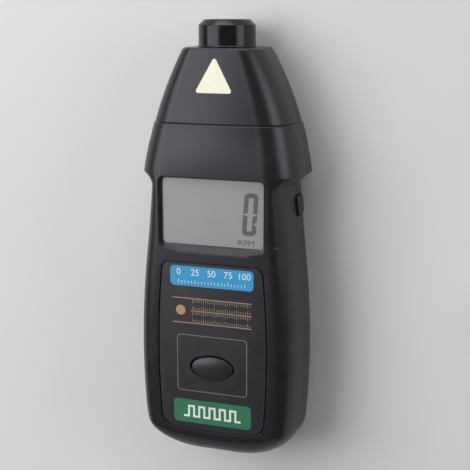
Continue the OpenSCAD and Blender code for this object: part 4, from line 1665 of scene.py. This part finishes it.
@dataclass
class Display:
    """Liquid crystal display: cell, window, and the grey film with its dark segments."""

    shop: Workshop
    digit_w: float = 6.2
    digit_x: float = 16.8
    digit_y: tuple[float, float] = (101.9, 119.9)
    stroke: float = 2.0
    corner: float = 1.3
    lean: float = math.tan(math.radians(4.0))
    gap: tuple[float, float] = (0.12, 0.75)
    notch: tuple[float, float] = (3.6, 1.5)
    notch_w: float = 1.5
    unit_at: tuple[float, float] = (15.05, 98.75)
    unit_h: float = 2.3
    unit_w: float = 7.2
    thick: float = 0.04
    film_gap: float = 0.03
    film_corner: float = 1.75

    def _half(self, half: Half) -> Array:
        """Outline of one half of the nought: a bracket with cut outer corners and slanted feet.

        Points are (across, up) from the digit's middle for the upper half; the lower half is turned over,
        has a notch in its right-hand stroke, and both lean.

        Args:
            half: which half.

        Returns:
            The ring.
        """
        w, h = self.digit_w / 2, (self.digit_y[1] - self.digit_y[0]) / 2
        s, c = self.stroke, self.corner
        near, far = self.gap
        up, depth = self.notch
        bite = [(w, up - self.notch_w / 2), (w - depth, up + self.notch_w / 3), (w, up + self.notch_w)]
        side = bite if half is Half.LOWER else []
        ring = np.array([
            (w - s, far), (w, near), *side, (w, h - c), (w - c, h), (c - w, h), (-w, h - c), (-w, near),
            (s - w, far), (s - w, h - s), (w - s, h - s),
        ])
        ring[:, 1] *= half.value
        ring[:, 0] += self.lean * ring[:, 1]
        return ring + np.array([self.digit_x, sum(self.digit_y) / 2])

    def build(self, housing: Housing) -> None:
        """Dresses the cell and the window, and lays the grey film and its segments on the window.

        Args:
            housing: gives the film its opening.
        """
        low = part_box("lcd_window")[1][2] / MM
        face = low + self.thick
        film = prism(housing.lcd_outline(-self.film_gap, self.film_corner), low, face)
        digit = joined([prism(self._half(half), face, face + self.thick) for half in Half])
        unit_words = figures("RPM", (self.unit_w, self.unit_h), self.unit_at, face, self.thick)
        for name, solid, finish in (
            ("display_film", film, "display_grey"),
            ("display_digit", digit, "display_segment"),
            ("display_unit", unit_words, "display_segment"),
        ):
            self.shop.make(name, solid, Body.HOUSING, finish, "display")
        self.shop.dress("lcd_cell", "display_grey")
        self.shop.dress("lcd_window", "window_clear")


@dataclass
class BeamPointer:
    """The pale pointer on the head, which shows the way of the beam."""

    shop: Workshop
    form: HousingForm
    base_y: float = 160.3
    tip_y: float = 175.2
    half: float = 8.3
    corner: float = 0.9
    thick: float = 0.2

    def _ring(self, steps: int = 8) -> Array:
        """Triangle with arc corners: each corner's centre plus r (cos t, sin t).

        A corner's centre lies on the line to the middle of the inscribed circle, r inside the sides.

        Args:
            steps: points round each corner, less one.

        Returns:
            The ring.
        """
        corners = np.array([[0, self.tip_y], [-self.half, self.base_y], [self.half, self.base_y]], float)
        sides = np.linalg.norm(np.roll(corners, -1, 0) - np.roll(corners, 1, 0), axis=1)
        centre = (corners * sides[:, None]).sum(0) / sides.sum()
        hubs = centre + (corners - centre) * (1 - self.corner / (centre[1] - self.base_y))
        slant = math.atan2(self.half, self.tip_y - self.base_y)
        turns = (slant, math.pi - slant, 1.5 * math.pi, 2 * math.pi + slant)
        spans = zip(turns[:-1], turns[1:])
        t = np.stack([np.linspace(start, stop, steps + 1) for start, stop in spans])[..., None]
        arcs = hubs[:, None] + self.corner * np.concatenate([np.cos(t), np.sin(t)], -1)
        return arcs.reshape(-1, 2)

    def _laid(self, ring: Array, rise: float) -> Array:
        """A ring laid on the head's face, rise above it."""
        x, y = ring.T
        return np.stack([x, y, self.form.front_z(y) - self.form.crown(x, y) + rise], -1)

    def build(self) -> None:
        """The film, laid on the head's face."""
        outer = self._ring()
        film = loft(np.stack([self._laid(outer, 0.0), self._laid(outer, self.thick)]))
        self.shop.make("beam_pointer", film, Body.HOUSING, "pointer_film", "mark_film", ["beam_mark"])


@dataclass
class InnerWorks:
    """Finishes of the CAD pieces that stay as they are."""

    shop: Workshop
    finishes: dict[str, str] = field(
        default_factory=lambda: {
            "case_screws": "screw_steel",
            "board_screws": "screw_steel",
            "lens_retainer": "optics_black",
            "beam_divider": "optics_black",
            "laser_module": "brass",
            "photo_sensor": "sensor_resin",
            "sensor_board": "board_green",
            "main_board": "board_green",
            "sensor_ribbon": "ribbon_film",
            "controller_chip": "chip_epoxy",
            "quartz_crystal": "can_metal",
            "capacitor": "capacitor_sleeve",
            "lcd_frame": "display_frame",
            "contact_strips": "contact_rubber",
            "memory_switch": "switch_case",
            "test_switch": "switch_case",
            "memory_switch_stem": "switch_stem",
            "test_switch_stem": "switch_stem",
            "battery": "battery_case",
            "battery_snap": "snap_vinyl",
            "battery_leads": "lead_vinyl",
        }
    )

    def build(self) -> None:
        """Dresses each node."""
        for node, finish in self.finishes.items():
            self.shop.dress(node, finish)


@dataclass(frozen=True)
class Softbox:
    """A rectangular studio lamp, aimed at a point: place and target in metres."""

    name: str
    place: tuple[float, float, float]
    target: tuple[float, float, float]
    size: tuple[float, float]
    radiance: float

    def build(self) -> None:
        """Makes the lamp; its power is pi times its area times its radiance."""
        light = bpy.data.lights.new(self.name, "AREA")
        light.shape, light.size, light.size_y = "RECTANGLE", *self.size
        light.energy = math.pi * self.size[0] * self.size[1] * self.radiance
        lamp = bpy.data.objects.new(self.name, light)
        lamp.location = self.place
        aim = Vector(self.target) - Vector(self.place)
        lamp.rotation_euler = aim.to_track_quat("-Z", "Y").to_euler()
        bpy.context.scene.collection.objects.link(lamp)


@dataclass
class Studio:
    """Pale floor, soft lamps and the camera."""

    finishes: Finishes
    eye: tuple[float, float, float] = (0.15553, 0.09906, 0.43889)
    yaw: float = 0.34597
    pitch: float = 0.21175
    roll: float = 0.0002
    sensor: float = 36.0
    focal_px: float = 1050.0
    frame_px: float = 470.0
    near: float = 0.01
    floor_half: float = 4.0
    floor_drop: float = 0.0002
    world: tuple[float, float, float, float] = (0.06, 0.06, 0.062, 1.0)
    lamps: tuple[Softbox, ...] = (
        Softbox("left_softbox", (-0.68, 0.31, 0.88), (0.0, 0.03, 0.02), (1.08, 1.00), 3.6),
        Softbox("right_softbox", (1.90, 0.62, 0.58), (0.0, 0.02, 0.02), (1.30, 1.08), 3.4),
        Softbox("top_softbox", (0.0, 2.30, 0.62), (0.0, 0.0, 0.02), (2.60, 1.24), 4.2),
        Softbox("low_fill", (-0.1, -1.15, 0.42), (0.0, 0.0, 0.02), (1.60, 0.80), 0.6),
    )

    def _floor(self) -> None:
        """A level sheet under the object: a grid of x and y at one height."""
        side = np.linspace(-self.floor_half, self.floor_half, 3)
        x, y = np.meshgrid(side, side)
        points = np.stack([x.ravel(), y.ravel(), np.full(x.size, -self.floor_drop)], -1)
        row, col = np.divmod(np.arange(4), 2)
        first = row * 3 + col
        faces = np.stack([first, first + 1, first + 4, first + 3], -1)
        mesh = bpy.data.meshes.new("studio_floor")
        mesh.from_pydata(points.tolist(), [], faces.tolist())
        mesh.materials.append(self.finishes["floor"])
        floor = bpy.data.objects.new("studio_floor", mesh)
        bpy.context.scene.collection.objects.link(floor)
        floor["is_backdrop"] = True

    def _camera(self) -> None:
        """The camera: yaw about y, then pitch about x, then roll about the line of sight."""
        turn = Matrix.Identity(3)
        for angle, axis in ((self.roll, "Z"), (self.pitch, "X"), (-self.yaw, "Y")):
            turn = turn @ Matrix.Rotation(angle, 3, axis)
        data = bpy.data.cameras.new("camera")
        data.lens = self.sensor * self.focal_px / self.frame_px
        data.sensor_width, data.clip_start = self.sensor, self.near
        camera = bpy.data.objects.new("camera", data)
        camera.matrix_world = Matrix.Translation(self.eye) @ turn.transposed().to_4x4()
        bpy.context.scene.collection.objects.link(camera)
        bpy.context.scene.camera = camera

    def build(self) -> None:
        """Sets the floor, the lamps, the world and the camera."""
        self._floor()
        for lamp in self.lamps:
            lamp.build()
        world = bpy.data.worlds.new("studio")
        world.use_nodes = True
        world.node_tree.nodes["Background"].inputs["Color"].default_value = self.world
        bpy.context.scene.world = world
        bpy.context.scene.view_settings.view_transform = "Standard"
        self._camera()


def main() -> None:
    """Builds every piece in order."""
    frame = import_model()
    finishes = Finishes()
    shop = Workshop(frame, finishes)
    form = HousingForm()
    key = OvalKey(shop, form)
    label = FaceLabel(shop)
    housing = Housing(shop, form)
    housing.build_front(label, key)
    housing.build_rear()
    BatteryCover(shop, form).build()
    OpticalHead(shop, form).build()
    key.build()
    SideKey(shop, form).build()
    label.build(key)
    Display(shop).build(housing)
    BeamPointer(shop, form).build()
    InnerWorks(shop).build()
    Studio(finishes).build()


if __name__ == "__main__":
    logging.basicConfig(level=logging.INFO, format="%(name)s: %(message)s")
    main()
